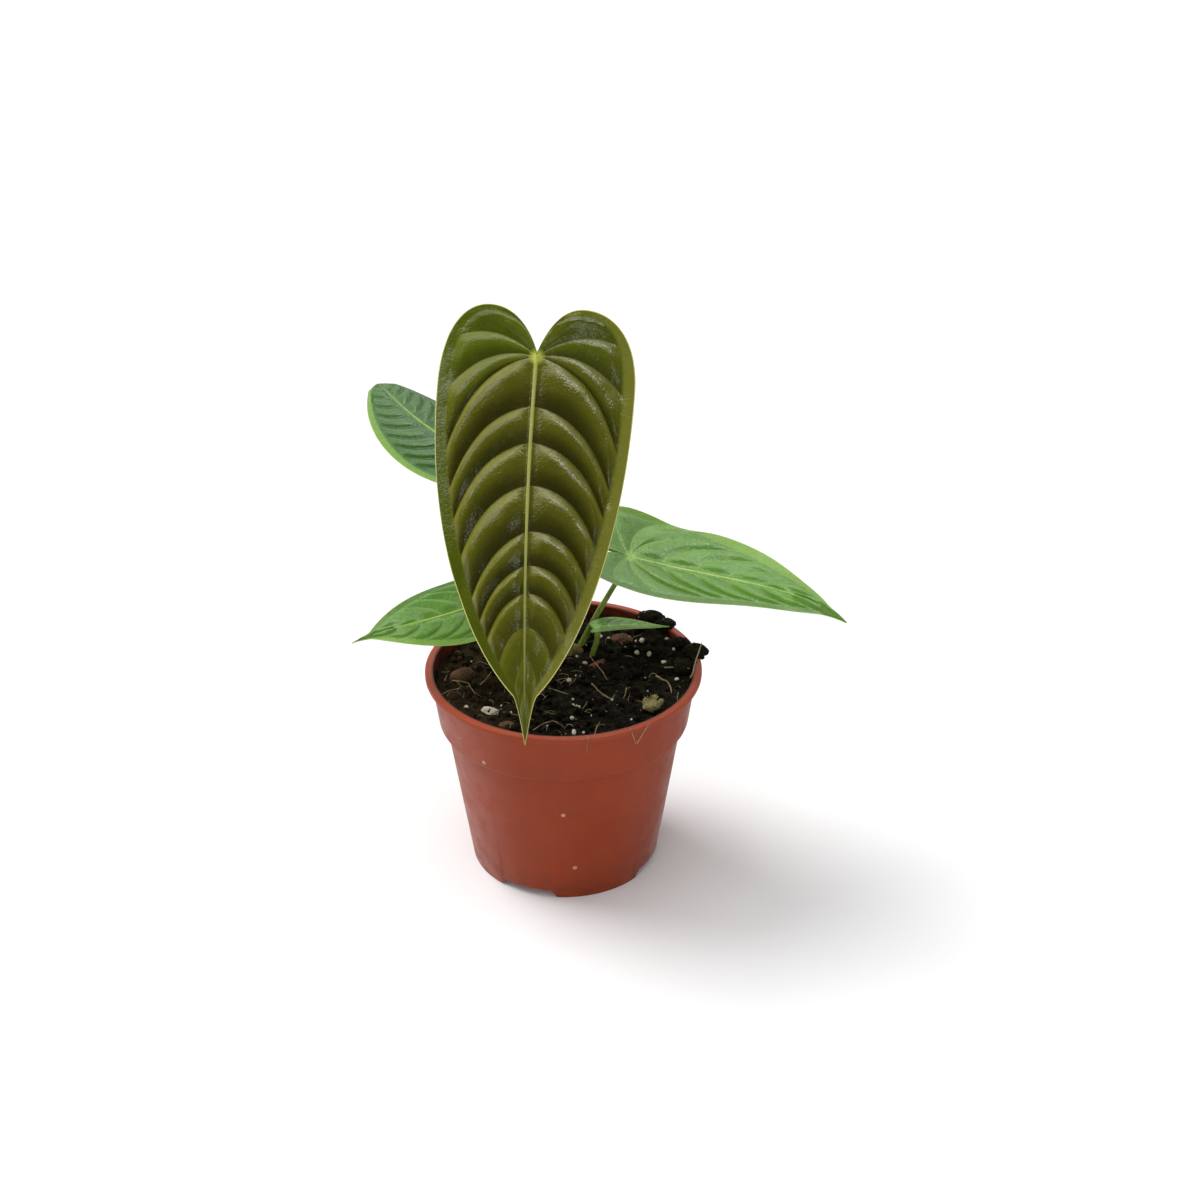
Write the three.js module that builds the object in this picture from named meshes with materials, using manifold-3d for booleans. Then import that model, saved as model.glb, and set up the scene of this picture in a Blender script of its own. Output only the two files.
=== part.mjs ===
// Potted king anthurium: a 12 cm nursery pot of peaty mix with a young plant of five leaves.
// Millimetres, +Z up. The front of the pot faces -Y. The origin is on the pot's axis, at the
// surface that it stands on.

import * as THREE from 'three';
import { mergeVertices } from 'three/addons/utils/BufferGeometryUtils.js';
import Module from 'manifold-3d';

const wasm = await Module();
wasm.setup();

// Driving dimensions, in millimetres and degrees

const GAP = 0.3;

const POT = {
  sides: 48,
  height: 93.4,
  wall: 1.3,
  lipRadius: 60,
  lipHeight: 2.6,
  lipRound: 0.8,
  collarTopRadius: 57.6,
  collarFootRadius: 54.5,
  collarFootZ: 69.3,
  stepHeight: 1.3,
  bodyTopRadius: 51.6,
  footRadius: 41.4,
  floorZ: 4.2,
  floorThickness: 1.5,
  padRadius: 10,
  notches: 4,
  notchWidth: 26,
  notchHeight: 3.6,
  notchSlant: 2,
  notchFrom: 13,
  firstNotch: -112.5,
  drains: 8,
  drainRadius: 3.5,
  drainSides: 12,
  drainCircle: 27,
};

const SOIL = {
  rings: 9,
  middleZ: 88.4,
  riseToFront: 1.8,
  riseToRight: 1.2,
  belowRim: 1.2,
  mounds: [
    { x: 51.5, y: 13.5, height: 5.2, spread: 11 },
    { x: 40, y: 37.5, height: 4.6, spread: 10 },
  ],
  overRim: 11,
  rolls: [
    { height: 0.7, alongX: 0.21, alongY: 0.12, phase: 1.1 },
    { height: 0.5, alongX: 0.43, alongY: -0.31, phase: 2.3 },
    { height: 0.35, alongX: 0.24, alongY: 0.66, phase: 0 },
  ],
  crumbs: 20,
  crumbSize: [2.2, 4.2],
  crumbReach: 49,
  crumbSeed: 11,
};

const CLODS = [
  { at: [57.5, 12, 92.3], size: [11.5, 12, 8] },
  { at: [52, 3, 91], size: [11, 11, 6.4] },
  { at: [49.5, 20, 91.6], size: [11, 10, 6.8] },
  { at: [38.5, 43, 92.6], size: [12.5, 9, 7.6] },
  { at: [45, 36.5, 92.4], size: [10, 9, 7] },
];

const CROWN = { x: 3.6, y: 24, foot: 70, top: 89.2, radius: 5.2, sides: 14, clearing: 11 };

const STALK = { foot: 76, sides: 8, steps: 12 };

// Shared by all the blades. Lengths other than the two thicknesses are fractions of the
// midrib, or of the way from the midrib to the edge.

const BLADE = {
  thickness: 0.8,
  keel: 0.7,
  usualWidth: 0.26,
  sinus: 0.011,
  edgeSteps: 40,
  sweepFade: 0.8,
  bend: 0.76,
  bendRise: 0.08,
  settle: 0.22,
  collector: 0.85,
  band: 0.14,
  smoothOver: 0.12,
  tipRelief: 0.2,
  lobeBend: [0.4, 0.5],
  lobeBulge: 0.09,
  lobeSettle: 0.5,
  lobeRelief: 0.7,
};

function evenVeins(count) {
  const starts = Array.from({ length: count }, (_, i) => i / count);
  return [starts, starts];
}

// Each blade is measured in fractions of its midrib, sides in the order left and right as
// seen from the leaf's own face with the tip pointing down. Angles of fold and curl are
// positive where a side rises towards the face.

const LEAVES = {
  front: {
    junction: [-10, 12.5, 232],
    tip: [-14.6, -66.6, 95.3],
    leaves: [-0.08, -0.58, -0.81],
    arrives: [0, -0.2, -0.98],
    face: [-0.09, -0.84, 0.54],
    handles: [0.36, 0.37],
    width: [0.27, 0.26],
    lobe: [0.134, 0.13],
    notch: [0.02, 0.45],
    lobeOut: [0.143, 0.118],
    widest: 0.07,
    belly: [0.32, 0.14, 0.15],
    shoulder: [0.03, 0.872],
    fold: [-6, -5],
    curl: [-15, -15],
    lobeLift: [0.17, 0.17],
    veins: [
      [0, 0.13, 0.23, 0.35, 0.485, 0.56, 0.62, 0.7, 0.78, 0.86],
      [0, 0.13, 0.22, 0.32, 0.425, 0.52, 0.6, 0.69, 0.77, 0.86],
    ],
    lobeVeins: [0, 0.5, 0.72, 1],
    smoothFrom: 0.62,
    quilt: 2.7,
    sweep: 0.32,
    ruffles: [[[0.71, 0.04, -1.5]], []],
    rows: { perVein: 3, step: 0.09 },
    columns: [0, 0.1, 0.25, 0.42, 0.6, 0.75, 0.85, 0.93, 1],
    foot: [0.8, 20.8],
    footLean: [0.1, -0.06, 1],
    stalk: [2.2, 1.5, 1.9],
    stalkHandles: [70, 22],
  },
  back: {
    junction: [-34.5, 31.7, 178.9],
    tip: [-84.2, 90, 187.2],
    leaves: [-0.86, 0.5, 0.1],
    arrives: [-0.42, 0.9, -0.1],
    face: [0, -0.2, 0.98],
    handles: [0.4, 0.3],
    width: [0.235, 0.325],
    lobe: [0.14, 0.14],
    notch: [0.01, 0.45],
    lobeOut: [0.14, 0.14],
    widest: 0.16,
    belly: [0.32, 0.06, 0.15],
    shoulder: [0.08, 0.93],
    fold: [3, 3],
    curl: [-8, -8],
    lobeLift: [0, 0],
    veins: evenVeins(9),
    lobeVeins: [0, 0.45, 0.7, 1],
    smoothFrom: 0.85,
    quilt: 1.4,
    sweep: 0.32,
    ruffles: [[], []],
    rows: { perVein: 3, step: 0.09 },
    columns: [0, 0.18, 0.45, 0.7, 0.85, 1],
    foot: [-1.8, 28.4],
    footLean: [-0.12, 0.1, 1],
    stalk: [2, 1.3, 1.6],
    stalkHandles: [45, 18],
  },
  right: {
    junction: [29, 17.2, 137.6],
    tip: [119.9, -13, 122.1],
    leaves: [0.93, 0.04, -0.3],
    arrives: [0.74, -0.45, -0.5],
    face: [0.04, -0.42, 0.91],
    handles: [0.45, 0.25],
    width: [0.222, 0.29],
    lobe: [0.19, 0.23],
    notch: [0, 0.02],
    lobeOut: [0.13, 0.11],
    widest: 0.08,
    belly: [0.3, 0.085, 0.17],
    shoulder: [0.036, 0.873],
    fold: [8, 2],
    curl: [12, -18],
    lobeLift: [0, 0],
    veins: evenVeins(7),
    lobeVeins: [0, 0.45, 0.7, 1],
    smoothFrom: 0.85,
    quilt: 1.3,
    sweep: 0.46,
    ruffles: [[[0.858, 0.13, -2.5]], [[0.317, 0.079, 3], [0.476, 0.063, -3.5], [0.823, 0.101, -3]]],
    rows: { perVein: 3, step: 0.09 },
    columns: [0, 0.18, 0.45, 0.7, 0.85, 1],
    foot: [2.7, 28],
    footLean: [0.36, -0.1, 1],
    stalk: [1.9, 1.15, 1.45],
    stalkHandles: [34, 8],
  },
  left: {
    junction: [-33, 9, 121.1],
    tip: [-88.4, -21.1, 116.7],
    leaves: [-0.86, -0.45, -0.2],
    arrives: [-0.9, -0.33, -0.28],
    face: [0, -0.32, 0.95],
    handles: [0.4, 0.34],
    width: [0.28, 0.28],
    lobe: [0.18, 0.18],
    notch: [0.01, 0.45],
    lobeOut: [0.14, 0.14],
    widest: 0.21,
    belly: [0.27, 0.11, 0.155],
    shoulder: [0.032, 0.861],
    fold: [2, 1],
    curl: [-7, -11],
    lobeLift: [0, 0],
    veins: evenVeins(6),
    lobeVeins: [0, 0.45, 0.7, 1],
    smoothFrom: 0.85,
    quilt: 1,
    sweep: 0.42,
    ruffles: [[], []],
    rows: { perVein: 2, step: 0.1 },
    columns: [0, 0.18, 0.45, 0.7, 0.85, 1],
    foot: [-3.8, 24.2],
    footLean: [-0.35, -0.05, 1],
    stalk: [1.8, 1.1, 1.4],
    stalkHandles: [16, 14],
  },
  small: {
    junction: [13.8, 16.2, 102.9],
    tip: [46.5, 26, 98.2],
    leaves: [0.97, 0.05, 0.2],
    arrives: [0.99, -0.07, 0.05],
    face: [0, 0.1, 1],
    handles: [0.34, 0.37],
    width: [0.18, 0.18],
    lobe: [0.06, 0.06],
    notch: [0.02, 0.45],
    lobeOut: [0.1, 0.1],
    widest: 0.23,
    belly: [0.3, 0.08, 0.17],
    shoulder: [0.03, 0.889],
    fold: [8, 12],
    curl: [-2, 6],
    lobeLift: [0, 0],
    veins: evenVeins(6),
    lobeVeins: [0, 0.5, 1],
    smoothFrom: 0.85,
    quilt: 0.3,
    sweep: 0.36,
    ruffles: [[], []],
    rows: { perVein: 1, step: 0.2 },
    columns: [0, 0.3, 0.7, 1],
    foot: [9.8, 18.8],
    footLean: [0.04, -0.05, 1],
    stalk: [1.5, 1.25, 1.35],
    stalkHandles: [8, 5],
  },
};

// Loose pieces that lie on the mix: place, size along X, Y and Z, and turn about Z

const PERLITE = [
  { at: [-31, -30], size: [8.6, 5.4, 4.6], turn: -12 },
  { at: [2.4, -4.8], size: [3, 2.6, 2.2], turn: 20 },
  { at: [16.2, 34.2], size: [2.8, 2.4, 2], turn: 70 },
  { at: [34.5, 27.5], size: [3.2, 2.4, 2.6], turn: 60 },
  { at: [43.6, 6.8], size: [2.8, 2.4, 2], turn: 10 },
  { at: [-41, -26.6], size: [2.4, 2.2, 2], turn: 40 },
];

const BARK = [
  { at: [-44, 0.5], size: [13, 9, 5], turn: 35 },
  { at: [-23.4, -41.2], size: [8, 5.5, 3.4], turn: 15 },
  { at: [25.6, 31.4], size: [12, 8, 4], turn: -20 },
];

const COIR = { at: [37.8, -29.5], size: [9.4, 8.6, 6.4], knobs: 5, knobSize: [2.6, 3.8], seed: 5 };

const HUSK = { at: [16, 10.6], length: 12, radius: 4.6, wall: 0.9, arc: 130, turn: -38 };

const FINISH = {
  plastic: { color: 0x96462d, roughness: 0.5, metalness: 0 },
  soil: { color: 0x1d1913, roughness: 0.95, metalness: 0 },
  crown: { color: 0x5c4a2a, roughness: 0.85, metalness: 0 },
  stalk: { color: 0x7f8f3c, roughness: 0.5, metalness: 0 },
  youngLeaf: { color: 0x5d6118, roughness: 0.35, metalness: 0 },
  leaf: { color: 0x5f8f3c, roughness: 0.4, metalness: 0 },
  darkLeaf: { color: 0x4f7a3c, roughness: 0.4, metalness: 0 },
  perlite: { color: 0xe2dfc6, roughness: 0.9, metalness: 0 },
  bark: { color: 0x4a3524, roughness: 0.9, metalness: 0 },
  coir: { color: 0x8d835c, roughness: 0.95, metalness: 0 },
  husk: { color: 0x6a3524, roughness: 0.8, metalness: 0 },
};

// Small tools

const radians = THREE.MathUtils.degToRad;

function vector(list) {
  return new THREE.Vector3(...list);
}

function seededRandom(seed) {
  let state = seed;
  return () => {
    state = (state * 1664525 + 1013904223) % 4294967296;
    return state / 4294967296;
  };
}

// A geometry with shared corners, nothing but positions, and no collapsed triangles
function welded(geometry) {
  const plain = new THREE.BufferGeometry();
  plain.setAttribute('position', geometry.getAttribute('position').clone());
  if (geometry.index) {
    plain.setIndex(geometry.index.clone());
  }
  const merged = mergeVertices(plain, 1e-3);
  const corners = merged.index.array;
  const kept = [];
  for (let i = 0; i < corners.length; i += 3) {
    const [a, b, c] = corners.slice(i, i + 3);
    if (a !== b && b !== c && c !== a) {
      kept.push(a, b, c);
    }
  }
  merged.setIndex(kept);
  return merged;
}

function toSolid(geometry) {
  const closed = welded(geometry);
  return new wasm.Manifold(new wasm.Mesh({
    numProp: 3,
    vertProperties: Float32Array.from(closed.getAttribute('position').array),
    triVerts: Uint32Array.from(closed.index.array),
  }));
}

function toGeometry(solid) {
  const mesh = solid.getMesh();
  const geometry = new THREE.BufferGeometry();
  geometry.setAttribute('position', new THREE.BufferAttribute(mesh.vertProperties, 3));
  geometry.setIndex(new THREE.BufferAttribute(mesh.triVerts, 1));
  return welded(geometry);
}

function addPiece(group, name, geometry, finish) {
  const piece = new THREE.Mesh(geometry, new THREE.MeshStandardMaterial(FINISH[finish]));
  piece.name = name;
  group.add(piece);
}

// A lathe about the Z axis from [radius, height] pairs
function turned(profile, sides) {
  const points = profile.map(([r, z]) => new THREE.Vector2(r, z));
  return new THREE.LatheGeometry(points, sides).rotateX(Math.PI / 2);
}

// A closed tube along a curve, whose radius changes along the way
function tube(curve, radiusAt, sides, steps) {
  const frames = curve.computeFrenetFrames(steps, false);
  const positions = [];
  for (let i = 0; i <= steps; i += 1) {
    const centre = curve.getPointAt(i / steps);
    for (let j = 0; j < sides; j += 1) {
      const angle = (2 * Math.PI * j) / sides;
      const radius = radiusAt(i / steps);
      const corner = centre.clone()
        .addScaledVector(frames.normals[i], radius * Math.cos(angle))
        .addScaledVector(frames.binormals[i], radius * Math.sin(angle));
      positions.push(...corner.toArray());
    }
  }
  const index = [];
  for (let i = 0; i < steps; i += 1) {
    for (let j = 0; j < sides; j += 1) {
      const next = (j + 1) % sides;
      const [a, b] = [i * sides + j, i * sides + next];
      index.push(a, b, b + sides, a, b + sides, a + sides);
    }
  }
  for (const end of [0, steps]) {
    const middle = positions.length / 3;
    positions.push(...curve.getPointAt(end / steps).toArray());
    for (let j = 0; j < sides; j += 1) {
      const [a, b] = [end * sides + j, end * sides + ((j + 1) % sides)];
      index.push(...(end === 0 ? [middle, b, a] : [middle, a, b]));
    }
  }
  const geometry = new THREE.BufferGeometry();
  geometry.setAttribute('position', new THREE.Float32BufferAttribute(positions, 3));
  geometry.setIndex(index);
  return geometry;
}

// An irregular pebble: a ball of few faces with its corners moved in and out, then stretched.
// grow makes the slightly larger copy that its bed is cut with.
function pebble(size, seed, grow = 0) {
  const random = seededRandom(seed);
  const detail = Math.max(...size) > 7 ? 1 : 0;
  const ball = welded(new THREE.IcosahedronGeometry(1, detail));
  const place = ball.getAttribute('position');
  for (let i = 0; i < place.count; i += 1) {
    const corner = new THREE.Vector3().fromBufferAttribute(place, i);
    corner.multiplyScalar(0.84 + 0.26 * random());
    place.setXYZ(i, ...corner.toArray());
  }
  return ball.scale(...size.map((side) => side / 2 + grow));
}

// Pot

function collarInside(z) {
  const { collarFootZ, collarFootRadius, collarTopRadius, height, lipHeight, wall } = POT;
  const rise = (z - collarFootZ) / (height - lipHeight - collarFootZ);
  return collarFootRadius + (collarTopRadius - collarFootRadius) * rise - wall;
}

function bodyInside(z) {
  const { bodyTopRadius, footRadius, collarFootZ, stepHeight, wall } = POT;
  return footRadius + ((bodyTopRadius - footRadius) * z) / (collarFootZ - stepHeight) - wall;
}

const LEDGE_TOP = POT.collarFootZ + POT.wall;
const LEDGE_FOOT = LEDGE_TOP - POT.stepHeight;
const TOP_INSIDE = collarInside(POT.height - POT.lipHeight);

function potProfile(grow) {
  const lipFoot = POT.height - POT.lipHeight;
  const top = POT.height + grow;
  const floorTop = POT.floorZ + POT.floorThickness;
  return [
    [0, 0],
    [POT.padRadius, 0],
    [POT.padRadius, POT.floorZ],
    [bodyInside(POT.floorZ), POT.floorZ],
    [bodyInside(0), 0],
    [POT.footRadius, 0],
    [POT.bodyTopRadius, POT.collarFootZ - POT.stepHeight],
    [POT.collarFootRadius, POT.collarFootZ],
    [POT.collarTopRadius, lipFoot],
    [POT.lipRadius - POT.lipRound, lipFoot],
    [POT.lipRadius + grow, lipFoot + POT.lipRound],
    [POT.lipRadius + grow, POT.height - POT.lipRound],
    [POT.lipRadius - POT.lipRound, top],
    [collarInside(lipFoot) + POT.lipRound, top],
    [collarInside(lipFoot) - grow, POT.height - POT.lipRound],
    [collarInside(lipFoot) - grow, lipFoot],
    [collarInside(LEDGE_TOP) - grow, LEDGE_TOP + grow],
    [bodyInside(LEDGE_FOOT) - grow, LEDGE_FOOT + grow],
    [bodyInside(floorTop) - grow, floorTop + grow],
    [0, floorTop + grow],
  ];
}

// A wedge that opens the foot ring, with slanting ends
function footNotch() {
  const half = POT.notchWidth / 2;
  const wedge = new THREE.Shape();
  wedge.moveTo(-half, -GAP);
  wedge.lineTo(half, -GAP);
  wedge.lineTo(half - POT.notchSlant, POT.notchHeight);
  wedge.lineTo(-half + POT.notchSlant, POT.notchHeight);
  return new THREE.ExtrudeGeometry(wedge, { depth: POT.footRadius, bevelEnabled: false })
    .rotateX(Math.PI / 2)
    .rotateZ(Math.PI)
    .translate(0, POT.notchFrom, 0);
}

function potSolid() {
  let pot = toSolid(turned(potProfile(0), POT.sides));
  for (let i = 0; i < POT.notches; i += 1) {
    const turn = radians(POT.firstNotch - 90 + (360 / POT.notches) * i);
    pot = pot.subtract(toSolid(footNotch().rotateZ(turn)));
  }
  for (let i = 0; i < POT.drains; i += 1) {
    const angle = (2 * Math.PI * (i + 0.5)) / POT.drains;
    const { drainRadius, drainSides, floorThickness } = POT;
    const drill = new THREE.CylinderGeometry(drainRadius, drainRadius, 3 * floorThickness, drainSides)
      .rotateX(Math.PI / 2)
      .translate(
        POT.drainCircle * Math.cos(angle),
        POT.drainCircle * Math.sin(angle),
        POT.floorZ + floorThickness / 2,
      );
    pot = pot.subtract(toSolid(drill));
  }
  return pot;
}

// Leaf blades

// Half of a blade's edge, from the notch between the lobes round one lobe to the tip.
// X is out from the midrib and Y runs along it, both in fractions of the midrib.
function halfEdge(leaf, side) {
  const width = leaf.width[side];
  const lobe = leaf.lobe[side];
  const out = leaf.lobeOut[side];
  const [drop, pull, back] = leaf.belly;
  const [neck, neckAt] = leaf.shoulder;
  const [notch, open] = leaf.notch;
  const edge = new THREE.Path();
  edge.moveTo(0, -BLADE.sinus);
  edge.bezierCurveTo(notch, -0.5 * lobe, open * out, -lobe, out, -lobe);
  edge.bezierCurveTo(out + 0.55 * (width - out), -lobe, width, -0.04 - 0.2 * lobe, width, leaf.widest);
  edge.bezierCurveTo(
    width, leaf.widest + drop,
    neck + (pull * width) / BLADE.usualWidth, neckAt - back,
    neck, neckAt,
  );
  edge.bezierCurveTo(0.62 * neck, neckAt + 0.02, 0.36 * neck, neckAt + 0.07, 0, 1);
  return edge.getPoints(BLADE.edgeSteps);
}

// Linear look-up of one coordinate of an edge by another
function lookUp(keys, values, key) {
  let i = 1;
  while (i < keys.length - 1 && keys[i] < key) {
    i += 1;
  }
  const share = THREE.MathUtils.clamp((key - keys[i - 1]) / (keys[i] - keys[i - 1]), 0, 1);
  return values[i - 1] + (values[i] - values[i - 1]) * share;
}

// Shares from 0 to 1 that fall on every vein and are spread evenly between them, each with
// its phase: the number of the vein it lies on, or a fraction between two veins
function sharesBetween(veins, perVein, step) {
  const shares = [];
  for (let i = 0; i < veins.length - 1; i += 1) {
    const span = veins[i + 1] - veins[i];
    const parts = Math.max(perVein, Math.round(span / step));
    for (let j = 0; j < parts; j += 1) {
      shares.push({ share: veins[i] + (span * j) / parts, phase: i + j / parts });
    }
  }
  return shares;
}

// Rows of a half blade. Each runs from the midrib, or from the junction in the lobe, out to
// the edge along the lie of the side veins. Both halves share their roots on the midrib.
// edge goes from 0 at the notch to 1 at the tip, along the blade's edge.
function bladeRows(leaf, side) {
  const edge = halfEdge(leaf, side);
  const lengths = [0];
  for (let i = 1; i < edge.length; i += 1) {
    lengths.push(lengths[i - 1] + edge[i].distanceTo(edge[i - 1]));
  }
  const start = 1.5 * BLADE.edgeSteps;
  const outerY = edge.slice(start).map((point) => point.y);
  const outerX = edge.slice(start).map((point) => point.x);
  const outerLength = lengths.slice(start);
  const total = lengths[lengths.length - 1];
  const branch = lookUp(outerY, outerLength, leaf.sweep);
  const edgeX = edge.map((point) => point.x);
  const edgeY = edge.map((point) => point.y);
  const { perVein, step } = leaf.rows;
  const lobeRows = sharesBetween(leaf.lobeVeins, perVein, step).map(({ share, phase }) => {
    const x = lookUp(lengths, edgeX, branch * share);
    const y = lookUp(lengths, edgeY, branch * share);
    const { smoothstep, lerp } = THREE.MathUtils;
    const bulge = BLADE.lobeBulge * smoothstep(share, 0.2, 0.5) * (1 - smoothstep(share, 0.6, 1));
    const bendX = x * lerp(BLADE.lobeBend[0], BLADE.bend, share * share);
    const bendY = y * lerp(BLADE.lobeBend[1], BLADE.bendRise, share * share) - bulge;
    return {
      root: [0, 0],
      bend: [bendX, bendY],
      end: [x, y],
      phase,
      edge: (branch * share) / total,
      relief: BLADE.lobeRelief,
      settle: BLADE.lobeSettle,
    };
  });
  const [own, other] = [side, 1 - side].map((which) => [
    ...sharesBetween([...leaf.veins[which], 1], perVein, step),
    { share: 1, phase: 0 },
  ]);
  const mainRows = own.map(({ share, phase }, i) => {
    const root = (share + other[i].share) / 2;
    const y = Math.min(1, share + leaf.sweep * (1 - share) ** BLADE.sweepFade);
    const x = lookUp(outerY, outerX, y);
    const fade = (leaf.smoothFrom - share) / BLADE.smoothOver;
    return {
      root: [0, root],
      bend: [BLADE.bend * x, THREE.MathUtils.lerp(share, y, BLADE.bendRise)],
      end: [x, y],
      phase,
      edge: lookUp(outerY, outerLength, y) / total,
      relief: THREE.MathUtils.clamp(1 + fade, BLADE.tipRelief, 1),
      settle: BLADE.settle,
    };
  });
  return [...lobeRows, ...mainRows];
}

// The rounded swelling between two side veins, steep just past the first one
function swelling(phase) {
  const share = phase - Math.floor(phase);
  return Math.sin(Math.PI * share ** 0.72);
}

function midribOf(leaf) {
  const start = vector(leaf.junction);
  const end = vector(leaf.tip);
  const span = start.distanceTo(end);
  return new THREE.CubicBezierCurve3(
    start,
    start.clone().addScaledVector(vector(leaf.leaves).normalize(), span * leaf.handles[0]),
    end.clone().addScaledVector(vector(leaf.arrives).normalize(), -span * leaf.handles[1]),
    end,
  );
}

// Where a point of the flat blade lies in space, and the way the blade's smooth face looks
// there: x out from the midrib, y along it, and lift above the face, all in millimetres
function placeOnBlade(leaf, midrib, length, side, x, y, lift) {
  const along = THREE.MathUtils.clamp(y / length, 0, 1);
  const tangent = midrib.getTangentAt(along);
  const face = vector(leaf.face);
  const normal = face.addScaledVector(tangent, -face.dot(tangent)).normalize();
  const across = new THREE.Vector3().crossVectors(normal, tangent);
  const back = Math.min(0, y);
  const fold = radians(leaf.fold[side]);
  const curl = radians(leaf.curl[side]) / (BLADE.usualWidth * length);
  const angle = fold + curl * x;
  const out = (Math.sin(angle) - Math.sin(fold)) / curl;
  const rise = (Math.cos(fold) - Math.cos(angle)) / curl;
  const lobeRise = leaf.lobeLift[side] * Math.abs(back / length) ** 1.3 * length;
  const place = midrib.getPointAt(along)
    .addScaledVector(tangent, back)
    .addScaledVector(across, side === 1 ? out : -out)
    .addScaledVector(normal, rise + lobeRise + lift);
  return { place, normal };
}

// The upper face of a blade as an open sheet of triangles, with the place right behind each
// corner on the lower face
function bladeSheet(leaf) {
  const midrib = midribOf(leaf);
  const length = midrib.getLength();
  const positions = [];
  const index = [];
  const behind = [];
  for (const side of [0, 1]) {
    const first = positions.length / 3;
    const rows = bladeRows(leaf, side);
    rows.forEach((row) => {
      leaf.columns.forEach((v) => {
        const [x, y] = [0, 1].map((axis) => (
          (1 - v) ** 2 * row.root[axis] + 2 * v * (1 - v) * row.bend[axis] + v * v * row.end[axis]
        ));
        const inner = Math.sin((Math.PI / 2) * Math.min(1, v / row.settle) ** 1.5);
        const toBand = THREE.MathUtils.clamp((BLADE.collector - v) / BLADE.band, 0, 1);
        const outer = Math.sin((Math.PI / 2) * toBand);
        const ruffle = leaf.ruffles[side].reduce((sum, [centre, spread, height]) => (
          sum + height * Math.exp(-(((row.edge - centre) / spread) ** 2)) * v * v
        ), 0);
        const quilt = leaf.quilt * inner * outer * swelling(row.phase) * row.relief;
        const lift = row.root[1] === 1 ? 0 : quilt + ruffle;
        const { place, normal } = placeOnBlade(
          leaf, midrib, length, side, x * length, y * length, lift,
        );
        positions.push(...place.toArray());
        const keel = v === 0 ? BLADE.keel * Math.sqrt(1 - row.root[1]) : 0;
        behind.push(...place.addScaledVector(normal, -BLADE.thickness - keel).toArray());
      });
    });
    const width = leaf.columns.length;
    for (let i = 0; i < rows.length - 1; i += 1) {
      for (let j = 0; j < width - 1; j += 1) {
        const a = first + i * width + j;
        const [b, c, d] = [a + 1, a + width + 1, a + width];
        index.push(...(side === 1 ? [a, c, b, a, d, c] : [a, b, c, a, c, d]));
      }
    }
  }
  const sheet = new THREE.BufferGeometry();
  sheet.setAttribute('position', new THREE.Float32BufferAttribute(positions, 3));
  sheet.setAttribute('behind', new THREE.Float32BufferAttribute(behind, 3));
  sheet.setIndex(index);
  return sheet;
}

// A closed blade: the sheet, the same sheet pushed back by its thickness, and the rim between
function bladeGeometry(leaf) {
  const sheet = mergeVertices(bladeSheet(leaf), 1e-3);
  const top = sheet.getAttribute('position');
  const count = top.count;
  const positions = [...top.array, ...sheet.getAttribute('behind').array];
  const corners = sheet.index.array;
  const index = [];
  const open = new Map();
  for (let i = 0; i < corners.length; i += 3) {
    const [a, b, c] = corners.slice(i, i + 3);
    if (a === b || b === c || c === a) {
      continue;
    }
    index.push(a, b, c, a + count, c + count, b + count);
    for (const [from, to] of [[a, b], [b, c], [c, a]]) {
      if (!open.delete(`${to} ${from}`)) {
        open.set(`${from} ${to}`, [from, to]);
      }
    }
  }
  for (const [from, to] of open.values()) {
    index.push(from, from + count, to + count, from, to + count, to);
  }
  const blade = new THREE.BufferGeometry();
  blade.setAttribute('position', new THREE.Float32BufferAttribute(positions, 3));
  blade.setIndex(index);
  return blade;
}

// Leaf stalks, each from its foot in the mix up to the back of its blade

function stalkCurve(leaf, sink = 0) {
  const midrib = midribOf(leaf);
  const tangent = midrib.getTangentAt(0);
  const face = vector(leaf.face);
  const normal = face.addScaledVector(tangent, -face.dot(tangent)).normalize();
  const clearance = BLADE.thickness + BLADE.keel + 2 * GAP;
  const end = vector(leaf.junction)
    .addScaledVector(tangent, leaf.stalk[2] * 0.4)
    .addScaledVector(normal, -clearance);
  const foot = new THREE.Vector3(...leaf.foot, STALK.foot - sink);
  const lean = vector(leaf.footLean).normalize();
  return new THREE.CubicBezierCurve3(
    foot,
    foot.clone().addScaledVector(lean, leaf.stalkHandles[0]),
    end.clone().addScaledVector(normal, -leaf.stalkHandles[1]),
    end,
  );
}

// Widest at the sheathing foot, slimmest above the middle, with a thicker joint at the blade
function stalkRadius(leaf, grow = 0) {
  const [foot, slim, joint] = leaf.stalk;
  return (share) => {
    const sheath = (foot - slim) * (1 - share) ** 2.4;
    const swell = (joint - slim) * Math.exp(-(((share - 0.97) / 0.05) ** 2));
    return slim + sheath + swell + grow;
  };
}

function stalkGeometry(leaf) {
  return tube(stalkCurve(leaf), stalkRadius(leaf), STALK.sides, STALK.steps);
}

// The same stalk a little larger all round, to cut its hole with
function stalkHole(leaf) {
  return toSolid(tube(stalkCurve(leaf, GAP), stalkRadius(leaf, GAP), STALK.sides, STALK.steps));
}

// Crown: the short knobbly stem that all the leaf stalks clasp

function crownSolid(grow) {
  const { x, y, foot, top, radius, sides } = CROWN;
  const profile = [
    [0, foot - grow],
    [0.7 * radius + grow, foot - grow],
    [0.95 * radius + grow, foot + 0.3 * (top - foot)],
    [0.86 * radius + grow, foot + 0.5 * (top - foot)],
    [radius + grow, foot + 0.68 * (top - foot)],
    [0.88 * radius + grow, foot + 0.84 * (top - foot)],
    [0.6 * radius + grow, foot + 0.96 * (top - foot) + grow],
    [0, top + grow],
  ];
  return toSolid(turned(profile, sides).translate(x, y, 0));
}

// Potting mix

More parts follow.
